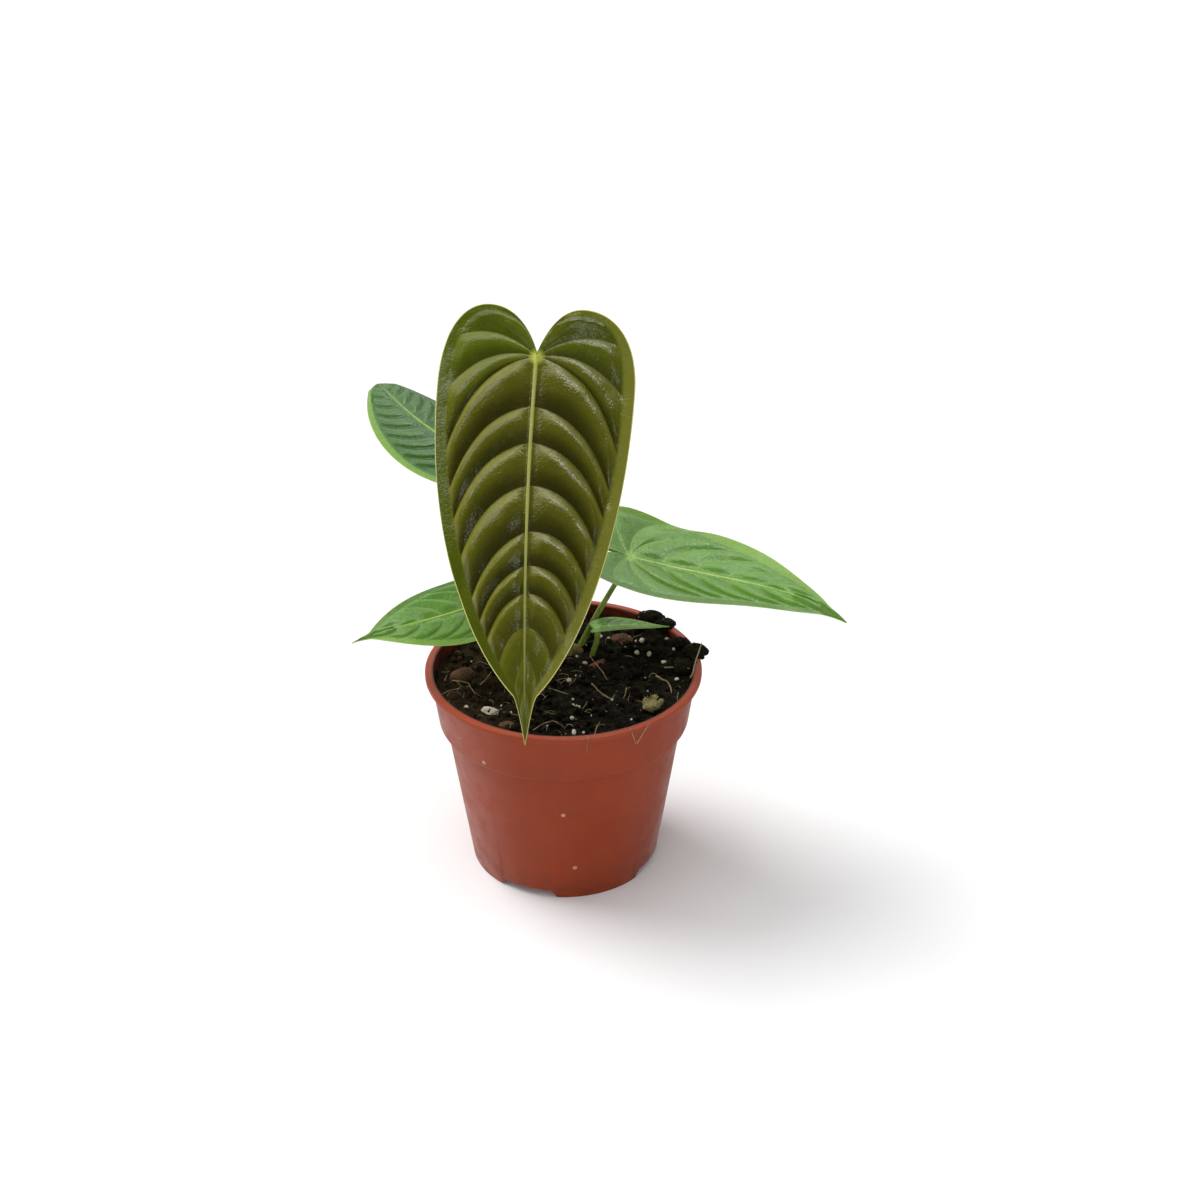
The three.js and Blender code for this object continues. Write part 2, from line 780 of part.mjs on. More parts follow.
// The space outside the pot's wall below the top of its rim, where no clod may hang down
function underRim() {
  const inner = TOP_INSIDE + POT.wall / 2;
  const outer = POT.lipRadius + SOIL.overRim;
  const top = POT.height - POT.lipRound;
  const ring = [[inner, POT.collarFootZ], [outer, POT.collarFootZ], [outer, top], [inner, top]];
  return toSolid(turned([...ring, ring[0]], POT.sides));
}

function soilTop(x, y) {
  const { middleZ, riseToFront, riseToRight, mounds, rolls } = SOIL;
  const heaped = mounds.reduce((sum, mound) => {
    const distance = (x - mound.x) ** 2 + (y - mound.y) ** 2;
    return sum + mound.height * Math.exp(-distance / mound.spread ** 2);
  }, 0);
  const rolling = rolls.reduce((sum, { height, alongX, alongY, phase }) => (
    sum + height * Math.sin(alongX * x + alongY * y + phase)
  ), 0);
  return middleZ - (riseToFront * y) / TOP_INSIDE + (riseToRight * x) / TOP_INSIDE
    + heaped + rolling;
}

// The mix as a body of rings: a rolling top, then down the inside of the pot to its floor
function soilBody() {
  const floor = POT.floorZ + POT.floorThickness + GAP;
  const wallRings = [
    [collarInside(LEDGE_TOP) - GAP, LEDGE_TOP + GAP],
    [bodyInside(LEDGE_FOOT) - GAP, LEDGE_FOOT + GAP],
    [bodyInside(floor) - GAP, floor],
  ];
  const rings = SOIL.rings + wallRings.length;
  const positions = [0, 0, soilTop(0, 0)];
  for (let i = 1; i <= rings; i += 1) {
    for (let j = 0; j < POT.sides; j += 1) {
      const angle = (2 * Math.PI * j) / POT.sides;
      const outward = [Math.sin(angle), -Math.cos(angle)];
      if (i <= SOIL.rings) {
        const edgeTop = soilTop(...outward.map((part) => part * TOP_INSIDE));
        const edge = Math.min(collarInside(edgeTop), TOP_INSIDE) - GAP;
        const [x, y] = outward.map((part) => part * edge * (i / SOIL.rings));
        positions.push(x, y, Math.min(soilTop(x, y), POT.height - SOIL.belowRim));
      } else {
        const [radius, z] = wallRings[i - SOIL.rings - 1];
        positions.push(outward[0] * radius, outward[1] * radius, z);
      }
    }
  }
  const last = positions.length / 3;
  positions.push(0, 0, floor);
  const index = [];
  for (let j = 0; j < POT.sides; j += 1) {
    const next = (j + 1) % POT.sides;
    index.push(0, 1 + j, 1 + next);
    for (let i = 0; i < rings - 1; i += 1) {
      const [a, b] = [1 + i * POT.sides + j, 1 + i * POT.sides + next];
      const [c, d] = [b + POT.sides, a + POT.sides];
      index.push(a, d, c, a, c, b);
    }
    const rim = 1 + (rings - 1) * POT.sides;
    index.push(last, rim + next, rim + j);
  }
  const body = new THREE.BufferGeometry();
  body.setAttribute('position', new THREE.Float32BufferAttribute(positions, 3));
  body.setIndex(index);
  return toSolid(body);
}

// Crumbs lie all over the mix, clear of the stem and of the loose pieces
function crumbs(taken) {
  const random = seededRandom(SOIL.crumbSeed);
  const found = [];
  while (found.length < SOIL.crumbs) {
    const angle = 2 * Math.PI * random();
    const reach = SOIL.crumbReach * Math.sqrt(random());
    const [low, high] = SOIL.crumbSize;
    const size = low + (high - low) * random();
    const seed = Math.floor(1e6 * random());
    const [x, y] = [reach * Math.sin(angle), reach * Math.cos(angle)];
    const clear = taken.every(([u, v, room]) => Math.hypot(x - u, y - v) > room + size);
    if (clear) {
      const shape = pebble([2 * size, 1.7 * size, 1.5 * size], seed);
      found.push(toSolid(shape.translate(x, y, soilTop(x, y) + 0.1 * size)));
    }
  }
  return found;
}

function bedded({ at, size, turn }, seed, grow) {
  const [x, y] = at;
  return pebble(size, seed, grow)
    .rotateZ(radians(turn))
    .translate(x, y, soilTop(x, y) + 0.12 * size[2]);
}

// A fibrous clump: knobs on a core, all grown together
function coirClump(grow) {
  const random = seededRandom(COIR.seed);
  const [x, y] = COIR.at;
  const z = soilTop(x, y) + 0.15 * COIR.size[2];
  let clump = toSolid(pebble(COIR.size.map((side) => 0.8 * side), COIR.seed, grow).translate(x, y, z));
  for (let i = 0; i < COIR.knobs; i += 1) {
    const angle = (2 * Math.PI * i) / COIR.knobs;
    const size = THREE.MathUtils.lerp(...COIR.knobSize, random());
    const lift = 0.36 * random();
    const knob = pebble([size, size, size], COIR.seed + i, grow).translate(
      x + 0.36 * COIR.size[0] * Math.cos(angle),
      y + 0.36 * COIR.size[1] * Math.sin(angle),
      z + lift * COIR.size[2],
    );
    clump = clump.add(toSolid(knob));
  }
  return clump;
}

// A dry brown husk of an old leaf sheath, curled into an open trough and lying on its side
function husk(grow) {
  const { length, radius, wall, arc, turn } = HUSK;
  const half = radians(arc) / 2 + grow / radius;
  const shape = new THREE.Shape();
  shape.absarc(0, 0, radius + grow, Math.PI / 2 - half, Math.PI / 2 + half, false);
  shape.absarc(0, 0, radius - wall - grow, Math.PI / 2 + half, Math.PI / 2 - half, true);
  const [x, y] = HUSK.at;
  return new THREE.ExtrudeGeometry(shape, {
    depth: length + 2 * grow,
    bevelEnabled: false,
    curveSegments: 8,
  })
    .translate(0, -radius * 0.55, -length / 2 - grow)
    .rotateX(Math.PI / 2)
    .rotateZ(radians(turn))
    .translate(x, y, soilTop(x, y));
}

// Assembly

const plant = new THREE.Group();
const leaves = Object.entries(LEAVES);
const stalkHoles = leaves.map(([, leaf]) => stalkHole(leaf));

let crown = crownSolid(0);
let soil = soilBody();
const loose = [...PERLITE, ...BARK, COIR].map(({ at, size }) => [...at, Math.max(...size) / 2]);
loose.push([...HUSK.at, HUSK.length / 2], [CROWN.x, CROWN.y, CROWN.clearing]);
for (const crumb of crumbs(loose)) {
  soil = soil.add(crumb);
}
const potOutline = toSolid(turned(potProfile(GAP), POT.sides)).add(underRim());
CLODS.forEach(({ at, size }, i) => {
  const clod = toSolid(pebble(size, 40 + i).translate(...at));
  soil = soil.add(clod.subtract(potOutline));
});
soil = soil.subtract(crownSolid(GAP));
for (const hole of stalkHoles) {
  crown = crown.subtract(hole);
  soil = soil.subtract(hole);
}

const beds = [];
PERLITE.forEach((piece, i) => {
  beds.push([`perlite_${i + 1}`, toSolid(bedded(piece, 60 + i, 0)), 'perlite']);
  soil = soil.subtract(toSolid(bedded(piece, 60 + i, GAP)));
});
BARK.forEach((piece, i) => {
  beds.push([`bark_${i + 1}`, toSolid(bedded(piece, 80 + i, 0)), 'bark']);
  soil = soil.subtract(toSolid(bedded(piece, 80 + i, GAP)));
});
beds.push(['coir_clump', coirClump(0), 'coir']);
soil = soil.subtract(coirClump(GAP));
beds.push(['sheath_husk', toSolid(husk(0)), 'husk']);
soil = soil.subtract(toSolid(husk(GAP)));

addPiece(plant, 'pot', toGeometry(potSolid()), 'plastic');
addPiece(plant, 'soil', toGeometry(soil), 'soil');
addPiece(plant, 'crown', toGeometry(crown), 'crown');
for (const [name, leaf] of leaves) {
  const finish = { front: 'youngLeaf', back: 'darkLeaf' }[name] ?? 'leaf';
  addPiece(plant, `petiole_${name}`, stalkGeometry(leaf), 'stalk');
  addPiece(plant, `blade_${name}`, bladeGeometry(leaf), finish);
}
for (const [name, solid, finish] of beds) {
  addPiece(plant, name, toGeometry(solid), finish);
}

export default plant;
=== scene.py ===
"""Potted king anthurium: a young plant of five leaves in a 12 cm plastic nursery pot.

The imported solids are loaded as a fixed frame, and every finished piece is built around them in
mesh code. Shapes are worked out in millimetres in the frame's own axes, with the pot standing on
Z = 0 and its front facing -Y, and they are written to meshes in metres.
"""

import math

import bmesh
import bpy
import numpy as np
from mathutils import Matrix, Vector


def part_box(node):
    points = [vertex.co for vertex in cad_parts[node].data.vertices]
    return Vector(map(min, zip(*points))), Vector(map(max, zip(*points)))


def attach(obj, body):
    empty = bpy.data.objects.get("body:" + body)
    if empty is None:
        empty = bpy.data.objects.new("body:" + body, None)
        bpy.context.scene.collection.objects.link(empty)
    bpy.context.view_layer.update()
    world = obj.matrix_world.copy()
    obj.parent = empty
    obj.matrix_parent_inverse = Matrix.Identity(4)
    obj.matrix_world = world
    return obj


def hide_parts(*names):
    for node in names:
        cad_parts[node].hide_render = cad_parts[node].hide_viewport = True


bl_info = {
    "name": "Potted King Anthurium",
    "version": (1, 0, 0),
    "blender": (4, 5, 0),
    "location": "View3D > Sidebar > Anthurium",
    "description": "Builds a potted king anthurium piece by piece around its solids",
    "category": "Add Mesh",
}

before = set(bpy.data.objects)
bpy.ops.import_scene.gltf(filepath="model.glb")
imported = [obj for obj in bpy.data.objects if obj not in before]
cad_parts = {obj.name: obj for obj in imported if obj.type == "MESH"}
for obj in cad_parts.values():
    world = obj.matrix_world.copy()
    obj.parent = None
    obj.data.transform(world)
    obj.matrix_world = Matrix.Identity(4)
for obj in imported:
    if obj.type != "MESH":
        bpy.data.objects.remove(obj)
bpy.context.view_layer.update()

MM = 0.001
BODY = "root"


def paint(*shown):
    """A colour given as it looks on a screen, as the linear values that Blender works in."""
    return tuple(c / 255 / 12.92 if c <= 10 else ((c / 255 + 0.055) / 1.055) ** 2.4 for c in shown)


# Sizes that go with the solids, in millimetres

POT_FOOT_RADIUS = 41.4
POT_BODY_RADIUS = 51.6
POT_STEP_Z = 68.0
POT_COLLAR_FOOT = (54.5, 69.3)
POT_COLLAR_TOP = (57.6, 90.8)
POT_FLOOR_Z = 4.2
POT_FLOOR_THICKNESS = 1.5
POT_PAD_RADIUS = 10.0
NOTCH_ANGLES = (-112.5, -22.5, 67.5, 157.5)
NOTCH_WIDTH = 26.0
NOTCH_HEIGHT = 3.6
NOTCH_SLANT = 2.0
DRAIN_RADIUS = 3.5
DRAIN_CIRCLE = 27.0
DRAINS = 8
POT_LIP_RADIUS = 60.0
POT_TOP_Z = 93.4
POT_SECTORS = 288

SOIL_ROLLS = ((0.7, 0.21, 0.12, 1.1), (0.5, 0.43, -0.31, 2.3), (0.35, 0.24, 0.66, 0.0))
SOIL_MOUNDS = ((51.5, 13.5, 5.2, 11.0), (40.0, 37.5, 4.6, 10.0))
CLODS = (
    ((57.5, 12, 92.3), (11.5, 12, 8)),
    ((52, 3, 91), (11, 11, 6.4)),
    ((49.5, 20, 91.6), (11, 10, 6.8)),
    ((38.5, 43, 92.6), (12.5, 9, 7.6)),
    ((45, 36.5, 92.4), (10, 9, 7)),
)
SOIL_SECTORS = 400
SOIL_RINGS = 118
SOIL_EDGE_GAP = 0.15
MIX_REACH = 54
SCATTER_REACH = 52
LIP_INNER_RADIUS = 55.6
CLOD_REACH = 61
PERLITE_LUMPS = 6
BARK_CHIPS = 3
STRAY_GRAINS = 26
STRAY_THREADS = 110
CLOD_CRUMBS = 26
COIR_HAIRS = 90
CROWN_PLACE = (3.6, 24.0)
CROWN_FOOT_Z = 70.0
CROWN_TOP_Z = 89.2
CROWN_ROWS = 44
CROWN_COLUMNS = 72
STALK_FOOT_Z = 76.0
STALK_ROWS = 90
STALK_SIDES = 28

# The form of a blade, mostly in shares of the midrib's length or of the way from it to the edge

SINUS = 0.011
USUAL_WIDTH = 0.26
SWEEP_FADE = 0.8
BEND = 0.76
BEND_RISE = 0.08
COLLECTOR = 0.85
BAND = 0.14
SMOOTH_OVER = 0.12
TIP_RELIEF = 0.2
LOBE_SHARE = 0.35
LOBE_BEND = (0.4, 0.5)
LOBE_BULGE = 0.09
LOBE_SETTLE = 0.5
LOBE_RELIEF = 0.7
LOBE_SPAN = 0.13
SETTLE = 0.22
EDGE_STEPS = 120


def even_veins(count):
    """The same evenly spaced side veins for both halves of a blade."""
    starts = [i / count for i in range(count)]
    return (starts, starts)


# Each leaf: where its midrib starts and ends and how it leaves and arrives, the way its face
# looks, its outline in shares of the midrib, the turns of its two halves in degrees, its veins,
# and its stalk's foot, lean, radii and curve handles. Pairs are for the left and right half as
# seen on the leaf's face with the tip down.

LEAVES = {
    "front": dict(
        junction=(-10, 12.5, 232), tip=(-14.6, -66.6, 95.3),
        leaves=(-0.08, -0.58, -0.81), arrives=(0, -0.2, -0.98), face=(-0.09, -0.84, 0.54),
        handles=(0.36, 0.37), width=(0.27, 0.26), lobe=(0.134, 0.13), notch=(0.02, 0.45),
        lobe_out=(0.143, 0.118), widest=0.07, belly=(0.32, 0.14, 0.15), shoulder=(0.03, 0.872),
        fold=(-6, -5), curl=(-15, -15), lobe_lift=(0.17, 0.17),
        veins=((0, 0.13, 0.23, 0.35, 0.485, 0.56, 0.62, 0.7, 0.78, 0.86),
               (0, 0.13, 0.22, 0.32, 0.425, 0.52, 0.6, 0.69, 0.77, 0.86)),
        lobe_veins=(0, 0.5, 0.72, 1), smooth_from=0.62, quilt=2.7, pucker=2.6,
        ruffles=(((0.71, 0.04, -1.5),), ()), foot=(0.8, 20.8), foot_lean=(0.1, -0.06, 1),
        stalk=(2.2, 1.5, 1.9), stalk_handles=(70, 22), finish="young_leaf", rows=22, sweep=0.32,
    ),
    "back": dict(
        junction=(-34.5, 31.7, 178.9), tip=(-84.2, 90, 187.2),
        leaves=(-0.86, 0.5, 0.1), arrives=(-0.42, 0.9, -0.1), face=(0, -0.2, 0.98),
        handles=(0.4, 0.3), width=(0.235, 0.325), lobe=(0.14, 0.14), notch=(0.01, 0.45),
        lobe_out=(0.14, 0.14), widest=0.16, belly=(0.32, 0.06, 0.15), shoulder=(0.08, 0.93),
        fold=(3, 3), curl=(-8, -8), lobe_lift=(0, 0), veins=even_veins(9),
        lobe_veins=(0, 0.45, 0.7, 1), smooth_from=0.85, quilt=1.4, pucker=0.3, ruffles=((), ()),
        foot=(-1.8, 28.4), foot_lean=(-0.12, 0.1, 1), stalk=(2, 1.3, 1.6),
        stalk_handles=(45, 18), finish="dark_green_leaf", rows=11, sweep=0.32,
    ),
    "right": dict(
        junction=(29, 17.2, 137.6), tip=(119.9, -13, 122.1),
        leaves=(0.93, 0.04, -0.3), arrives=(0.74, -0.45, -0.5), face=(0.04, -0.42, 0.91),
        handles=(0.45, 0.25), width=(0.222, 0.29), lobe=(0.19, 0.23), notch=(0, 0.02),
        lobe_out=(0.13, 0.11), widest=0.08, belly=(0.3, 0.085, 0.17), shoulder=(0.036, 0.873),
        fold=(8, 2), curl=(12, -18), lobe_lift=(0, 0), veins=even_veins(7),
        lobe_veins=(0, 0.45, 0.7, 1), smooth_from=0.85, quilt=1.3, pucker=0.3,
        ruffles=(((0.858, 0.13, -2.5),),
                 ((0.317, 0.079, 3), (0.476, 0.063, -3.5), (0.823, 0.101, -3))),
        foot=(2.7, 28), foot_lean=(0.36, -0.1, 1), stalk=(1.9, 1.15, 1.45),
        stalk_handles=(34, 8), finish="green_leaf", rows=16, sweep=0.46,
    ),
    "left": dict(
        junction=(-33, 9, 121.1), tip=(-88.4, -21.1, 116.7),
        leaves=(-0.86, -0.45, -0.2), arrives=(-0.9, -0.33, -0.28), face=(0, -0.32, 0.95),
        handles=(0.4, 0.34), width=(0.28, 0.28), lobe=(0.18, 0.18), notch=(0.01, 0.45),
        lobe_out=(0.14, 0.14), widest=0.21, belly=(0.27, 0.11, 0.155), shoulder=(0.032, 0.861),
        fold=(2, 1), curl=(-7, -11), lobe_lift=(0, 0), veins=even_veins(6),
        lobe_veins=(0, 0.45, 0.7, 1), smooth_from=0.85, quilt=1, pucker=0.3, ruffles=((), ()),
        foot=(-3.8, 24.2), foot_lean=(-0.35, -0.05, 1), stalk=(1.8, 1.1, 1.4),
        stalk_handles=(16, 14), finish="green_leaf", rows=11, sweep=0.42,
    ),
    "small": dict(
        junction=(13.8, 16.2, 102.9), tip=(46.5, 26, 98.2),
        leaves=(0.97, 0.05, 0.2), arrives=(0.99, -0.07, 0.05), face=(0, 0.1, 1),
        handles=(0.34, 0.37), width=(0.18, 0.18), lobe=(0.06, 0.06), notch=(0.02, 0.45),
        lobe_out=(0.1, 0.1), widest=0.23, belly=(0.3, 0.08, 0.17), shoulder=(0.03, 0.889),
        fold=(8, 12), curl=(-2, 6), lobe_lift=(0, 0), veins=even_veins(6),
        lobe_veins=(0, 0.5, 1), smooth_from=0.85, quilt=0.3, pucker=0.1, ruffles=((), ()),
        foot=(9.8, 18.8), foot_lean=(0.04, -0.05, 1), stalk=(1.5, 1.25, 1.35),
        stalk_handles=(8, 5), finish="green_leaf", rows=9, sweep=0.36,
    ),
}

# Root threads and straws on the mix: points as X, Y and height above the mix, then the radius

THREADS = (
    (((-48.1, -5.7, 1), (-40.1, -10.7, 2.2), (-38.1, -15.7, 0.6)), 0.3),
    (((-35.9, -8.2, 0.4), (-31, -1.5, 2)), 0.32),
    (((-51.7, -17.3, 0.8), (-44.3, -12.4, 1.2)), 0.24),
    (((-6.5, -12.4, 1), (2.2, -19, 1)), 0.26),
    (((11.4, 13.1, 3), (18.8, -5.7, 1)), 0.24),
    (((12.4, -10.7, 0.8), (20.5, -27.1, 1.6), (22.2, -24.7, 2.8)), 0.28),
    (((27.8, -12.4, 1), (26, -23.9, 1)), 0.22),
    (((54.6, -7.4, 1.2), (58.2, 1, 5), (60.4, 6.6, 8)), 0.42),
    (((39.5, -6.6, 1.4), (45, -12.4, 1.8), (46.5, -19.8, 0.8)), 0.46),
    (((44.1, 1, 1.6), (54.8, -1.5, 1.8)), 0.36),
    (((49, -19.8, 1.4), (48.7, -28, 1.2)), 0.2),
    (((13.7, -52.4, 0.8), (15.8, -43.7, 2.2)), 0.26),
    (((-12, -47, 1), (-4, -44, 1.6), (0.6, -47.6, 0.8)), 0.22),
    (((-30, -36, 0.6), (-25.6, -30, 1.6)), 0.24),
    (((-22, 3, 1), (-16, -3, 1.6), (-15, -9, 0.8)), 0.28),
)

# Threads that hang over the front of the rim, in full places

RIM_THREADS = (
    (((11.2, -54.4, 92.2), (10.9, -58.6, 93.9), (10.6, -60.5, 92.6), (10.2, -60.6, 87.6)), 0.22),
    (((27.6, -48, 92), (28.4, -51.6, 94), (29.2, -53, 92.4), (30.6, -53.2, 87)), 0.2),
    (((31, -53, 87.4), (33.4, -50.8, 90.4), (36, -48.6, 94), (36.6, -45.8, 92)), 0.2),
)

# Pale grains of perlite on the mix: X, Y and size

GRAINS = (
    (14, 33.5, 2), (28.8, 31.1, 2.2), (5.6, 17.4, 1.6), (9.2, 9.6, 2), (52.9, 19.9, 2),
    (49, -6.8, 1.9), (5.1, -51.6, 2.4), (-40.4, -28.7, 1.2), (9.6, 26.3, 1.6),
    (32.2, 18.3, 2.2), (37.4, 14.8, 2.4), (19.2, -31.1, 1.6), (4.1, -38.2, 1.7),
    (55, -19.1, 1.5), (45.5, 23.5, 1.8), (48.2, 14.6, 1.5), (4.4, -27.1, 1.6), (20.9, -24.7, 1.4),
    (2.4, -27.6, 1.7), (7, -29.4, 1.4), (9, -50.6, 1.4), (-20.6, -22, 1), (-26, -25.4, 0.9),
)


class PlantSizes(bpy.types.PropertyGroup):
    """Sizes that can change without moving a piece away from its solid."""

    pot_wall: bpy.props.FloatProperty(
        name="Pot wall", description="Thickness of the pot's wall",
        default=0.0013, min=0.0008, max=0.003, precision=5, unit="LENGTH", subtype="DISTANCE")
    blade_thickness: bpy.props.FloatProperty(
        name="Blade thickness", description="Thickness of a leaf blade between its veins",
        default=0.00045, min=0.0002, max=0.001, precision=5, unit="LENGTH", subtype="DISTANCE")
    midrib_height: bpy.props.FloatProperty(
        name="Midrib height", description="How far the midrib stands up from the leaf's face",
        default=0.0006, min=0, max=0.002, precision=5, unit="LENGTH", subtype="DISTANCE")
    quilting: bpy.props.FloatProperty(
        name="Quilting", description="Share of the full swelling between side veins",
        default=1, min=0, max=1.2, subtype="FACTOR")
    soil_roughness: bpy.props.FloatProperty(
        name="Soil roughness", description="Height of the lumps on the potting mix",
        default=0.0016, min=0, max=0.003, precision=5, unit="LENGTH", subtype="DISTANCE")
    crumb_count: bpy.props.IntProperty(
        name="Crumbs", description="Number of loose crumbs on the potting mix",
        default=1250, min=0, max=1500)


class PlantColours(bpy.types.PropertyGroup):
    """Colours of the finishes."""

    terracotta: bpy.props.FloatVectorProperty(
        name="Pot plastic", description="Terracotta colour of the pot's plastic",
        default=paint(152, 62, 31), size=3, min=0, max=1, subtype="COLOR")
    young_blade: bpy.props.FloatVectorProperty(
        name="Young blade", description="Bronze olive of the youngest leaf",
        default=paint(84, 84, 12), size=3, min=0, max=1, subtype="COLOR")
    green_blade: bpy.props.FloatVectorProperty(
        name="Green blade", description="Fresh green of the side leaves",
        default=paint(96, 138, 54), size=3, min=0, max=1, subtype="COLOR")
    dark_blade: bpy.props.FloatVectorProperty(
        name="Dark blade", description="Deeper green of the leaf at the back",
        default=paint(66, 104, 48), size=3, min=0, max=1, subtype="COLOR")
    stalk: bpy.props.FloatVectorProperty(
        name="Leaf stalk", description="Yellow-green of the leaf stalks",
        default=paint(138, 156, 66), size=3, min=0, max=1, subtype="COLOR")
    soil: bpy.props.FloatVectorProperty(
        name="Potting mix", description="Moist peaty brown of the potting mix",
        default=paint(24, 21, 13), size=3, min=0, max=1, subtype="COLOR")
    perlite: bpy.props.FloatVectorProperty(
        name="Perlite", description="Off-white of the perlite",
        default=paint(226, 222, 200), size=3, min=0, max=1, subtype="COLOR")


def sizes():
    """The sizes chosen in the panel."""
    return bpy.context.scene.anthurium_sizes


def colours():
    """The colours chosen in the panel."""
    return bpy.context.scene.anthurium_colours


# Repeatable noise


def lattice(cells, seed):
    """One value from 0 to 1 for each whole-numbered corner of a lattice."""
    mask = 0xFFFFFFFF
    x, y, z = (cells[..., k] for k in range(3))
    mixed = (x * 374761393 + y * 668265263 + z * 2246822519 + seed * 3266489917) & mask
    mixed = ((mixed ^ (mixed >> 13)) * 1274126177) & mask
    return ((mixed ^ (mixed >> 16)) & 0xFFFFFF) / 0xFFFFFF


def noise(points, cell, seed):
    """Smooth noise from 0 to 1 over points, with lumps about one cell wide."""
    places = np.asarray(points, float) / cell
    corner = np.floor(places).astype(np.int64)
    part = places - corner
    part = part * part * (3 - 2 * part)
    total = np.zeros(places.shape[:-1])
    for offset in np.ndindex(2, 2, 2):
        weight = np.prod(np.where(offset, part, 1 - part), axis=-1)
        total += weight * lattice(corner + np.array(offset), seed)
    return total


def heaped(layer, layers, fade):
    """The weighted mean of layers of noise, each weaker than the one before."""
    total, weight, whole = 0.0, 1.0, 0.0
    for i in range(layers):
        total = total + weight * layer(i)
        whole += weight
        weight *= fade
    return total / whole


def layered(points, cell, seed, layers=4, fade=0.5):
    """Layers of ever finer noise, from 0 to 1."""
    return heaped(lambda i: noise(points, cell / 2**i, seed + 17 * i), layers, fade)


def lumpy(points, cell, seed, layers=3, fade=0.5):
    """Rounded lumps with creases between them, from 0 to 1."""
    def lumps(i):
        return np.abs(2 * noise(points, cell / 2**i, seed + 29 * i) - 1)

    return 1 - heaped(lumps, layers, fade)


# Mesh making


def smoothstep(low, high, value):
    share = np.clip((value - low) / (high - low), 0, 1)
    return share * share * (3 - 2 * share)


def unit(vectors):
    return vectors / np.maximum(np.linalg.norm(vectors, axis=-1, keepdims=True), 1e-12)


def grid_faces(rows, columns, first=0, closed=False, flip=False):
    """Faces between the rows of a grid of corners; closed joins the last column to the first."""
    faces = []
    for i in range(rows - 1):
        for j in range(columns if closed else columns - 1):
            a = first + i * columns + j
            b = first + i * columns + (j + 1) % columns
            corners = (a, b, b + columns, a + columns)
            faces.append(corners[::-1] if flip else corners)
    return faces


def capped_grid(rows, columns, flip=False):
    """Faces of a closed grid, and of the caps that join its ends to the two corners after it."""
    faces = grid_faces(rows, columns, closed=True, flip=flip)
    start, end, last_row = rows * columns, rows * columns + 1, (rows - 1) * columns
    for j in range(columns):
        following = (j + 1) % columns
        for corners in ((start, following, j), (end, last_row + j, last_row + following)):
            faces.append(corners[::-1] if flip else corners)
    return faces


def ring_angles(count):
    return np.linspace(0, 2 * np.pi, count, endpoint=False)


def ring(radius, angles, z):
    """Corners of a level ring about the pot's axis."""
    return np.stack([radius * np.cos(angles), radius * np.sin(angles), z + 0 * angles], -1)


def turned(points, angle):
    """Points turned about the Z axis."""
    cos, sin = math.cos(angle), math.sin(angle)
    return points @ np.array([[cos, sin, 0], [-sin, cos, 0], [0, 0, 1]])


def way_along(points):
    """How far along a line of points each of them lies."""
    return np.concatenate([[0], np.cumsum(np.linalg.norm(np.diff(points, axis=0), axis=1))])


def piece(name, points, faces, surface, slot, replaced=(), marks=None, crease=None):
    """Makes a named piece from corners in millimetres and lets it ride on the plant's body."""
    mesh = bpy.data.meshes.new(name)
    mesh.from_pydata((np.asarray(points, float) * MM).tolist(), [], faces)
    mesh.validate()
    mesh.shade_smooth()
    for mark, values in (marks or {}).items():
        layer = mesh.attributes.new(mark, "FLOAT", "POINT")
        layer.data.foreach_set("value", np.asarray(values, np.float32))
    if crease is not None:
        mesh.set_sharp_from_angle(angle=math.radians(crease))
    mesh.materials.append(surface)
    made = bpy.data.objects.new(name, mesh)
    bpy.context.scene.collection.objects.link(made)
    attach(made, BODY)
    if replaced:
        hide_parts(*replaced)
    return made


def applied(made):
    """Applies a helper object's modifiers and gives its corners in millimetres and its faces."""
    graph = bpy.context.evaluated_depsgraph_get()
    mesh = bpy.data.meshes.new_from_object(made.evaluated_get(graph))
    points = np.zeros(len(mesh.vertices) * 3)
    mesh.vertices.foreach_get("co", points)
    faces = [tuple(face.vertices) for face in mesh.polygons]
    bpy.data.meshes.remove(mesh)
    return points.reshape(-1, 3) / MM, faces


def helper(points, faces):
    """A bare object to try modifiers on. It never stays in the scene."""
    mesh = bpy.data.meshes.new("helper")
    mesh.from_pydata((np.asarray(points, float) * MM).tolist(), [], faces)
    made = bpy.data.objects.new("helper", mesh)
    bpy.context.scene.collection.objects.link(made)
    return made


def drop(made):
    mesh = made.data
    bpy.data.objects.remove(made)
    bpy.data.meshes.remove(mesh)


def corner_normals(points, faces):
    """Unit normals at the corners of a mesh."""
    normals = np.zeros_like(points)
    for size in (3, 4):
        chosen = np.array([face for face in faces if len(face) == size], int)
        if len(chosen):
            across = points[chosen[:, 2]] - points[chosen[:, 0]]
            other = points[chosen[:, -1]] - points[chosen[:, 1]]
            face_normals = np.cross(across, other)
            for k in range(size):
                np.add.at(normals, chosen[:, k], face_normals)
    return unit(normals)


def ball(detail):
    """Corners and faces of a round ball of radius 1."""
    made = bmesh.new()
    bmesh.ops.create_icosphere(made, subdivisions=detail, radius=1)
    points = np.array([corner.co[:] for corner in made.verts])
    faces = [tuple(corner.index for corner in face.verts) for face in made.faces]
    made.free()
    return points, faces


def joined(parts):
    """One set of corners and faces from several."""
    points, faces, count = [], [], 0
    for part_points, part_faces in parts:
        points.append(part_points)
        faces.extend(tuple(count + corner for corner in face) for face in part_faces)
        count += len(part_points)
    return np.concatenate(points), faces


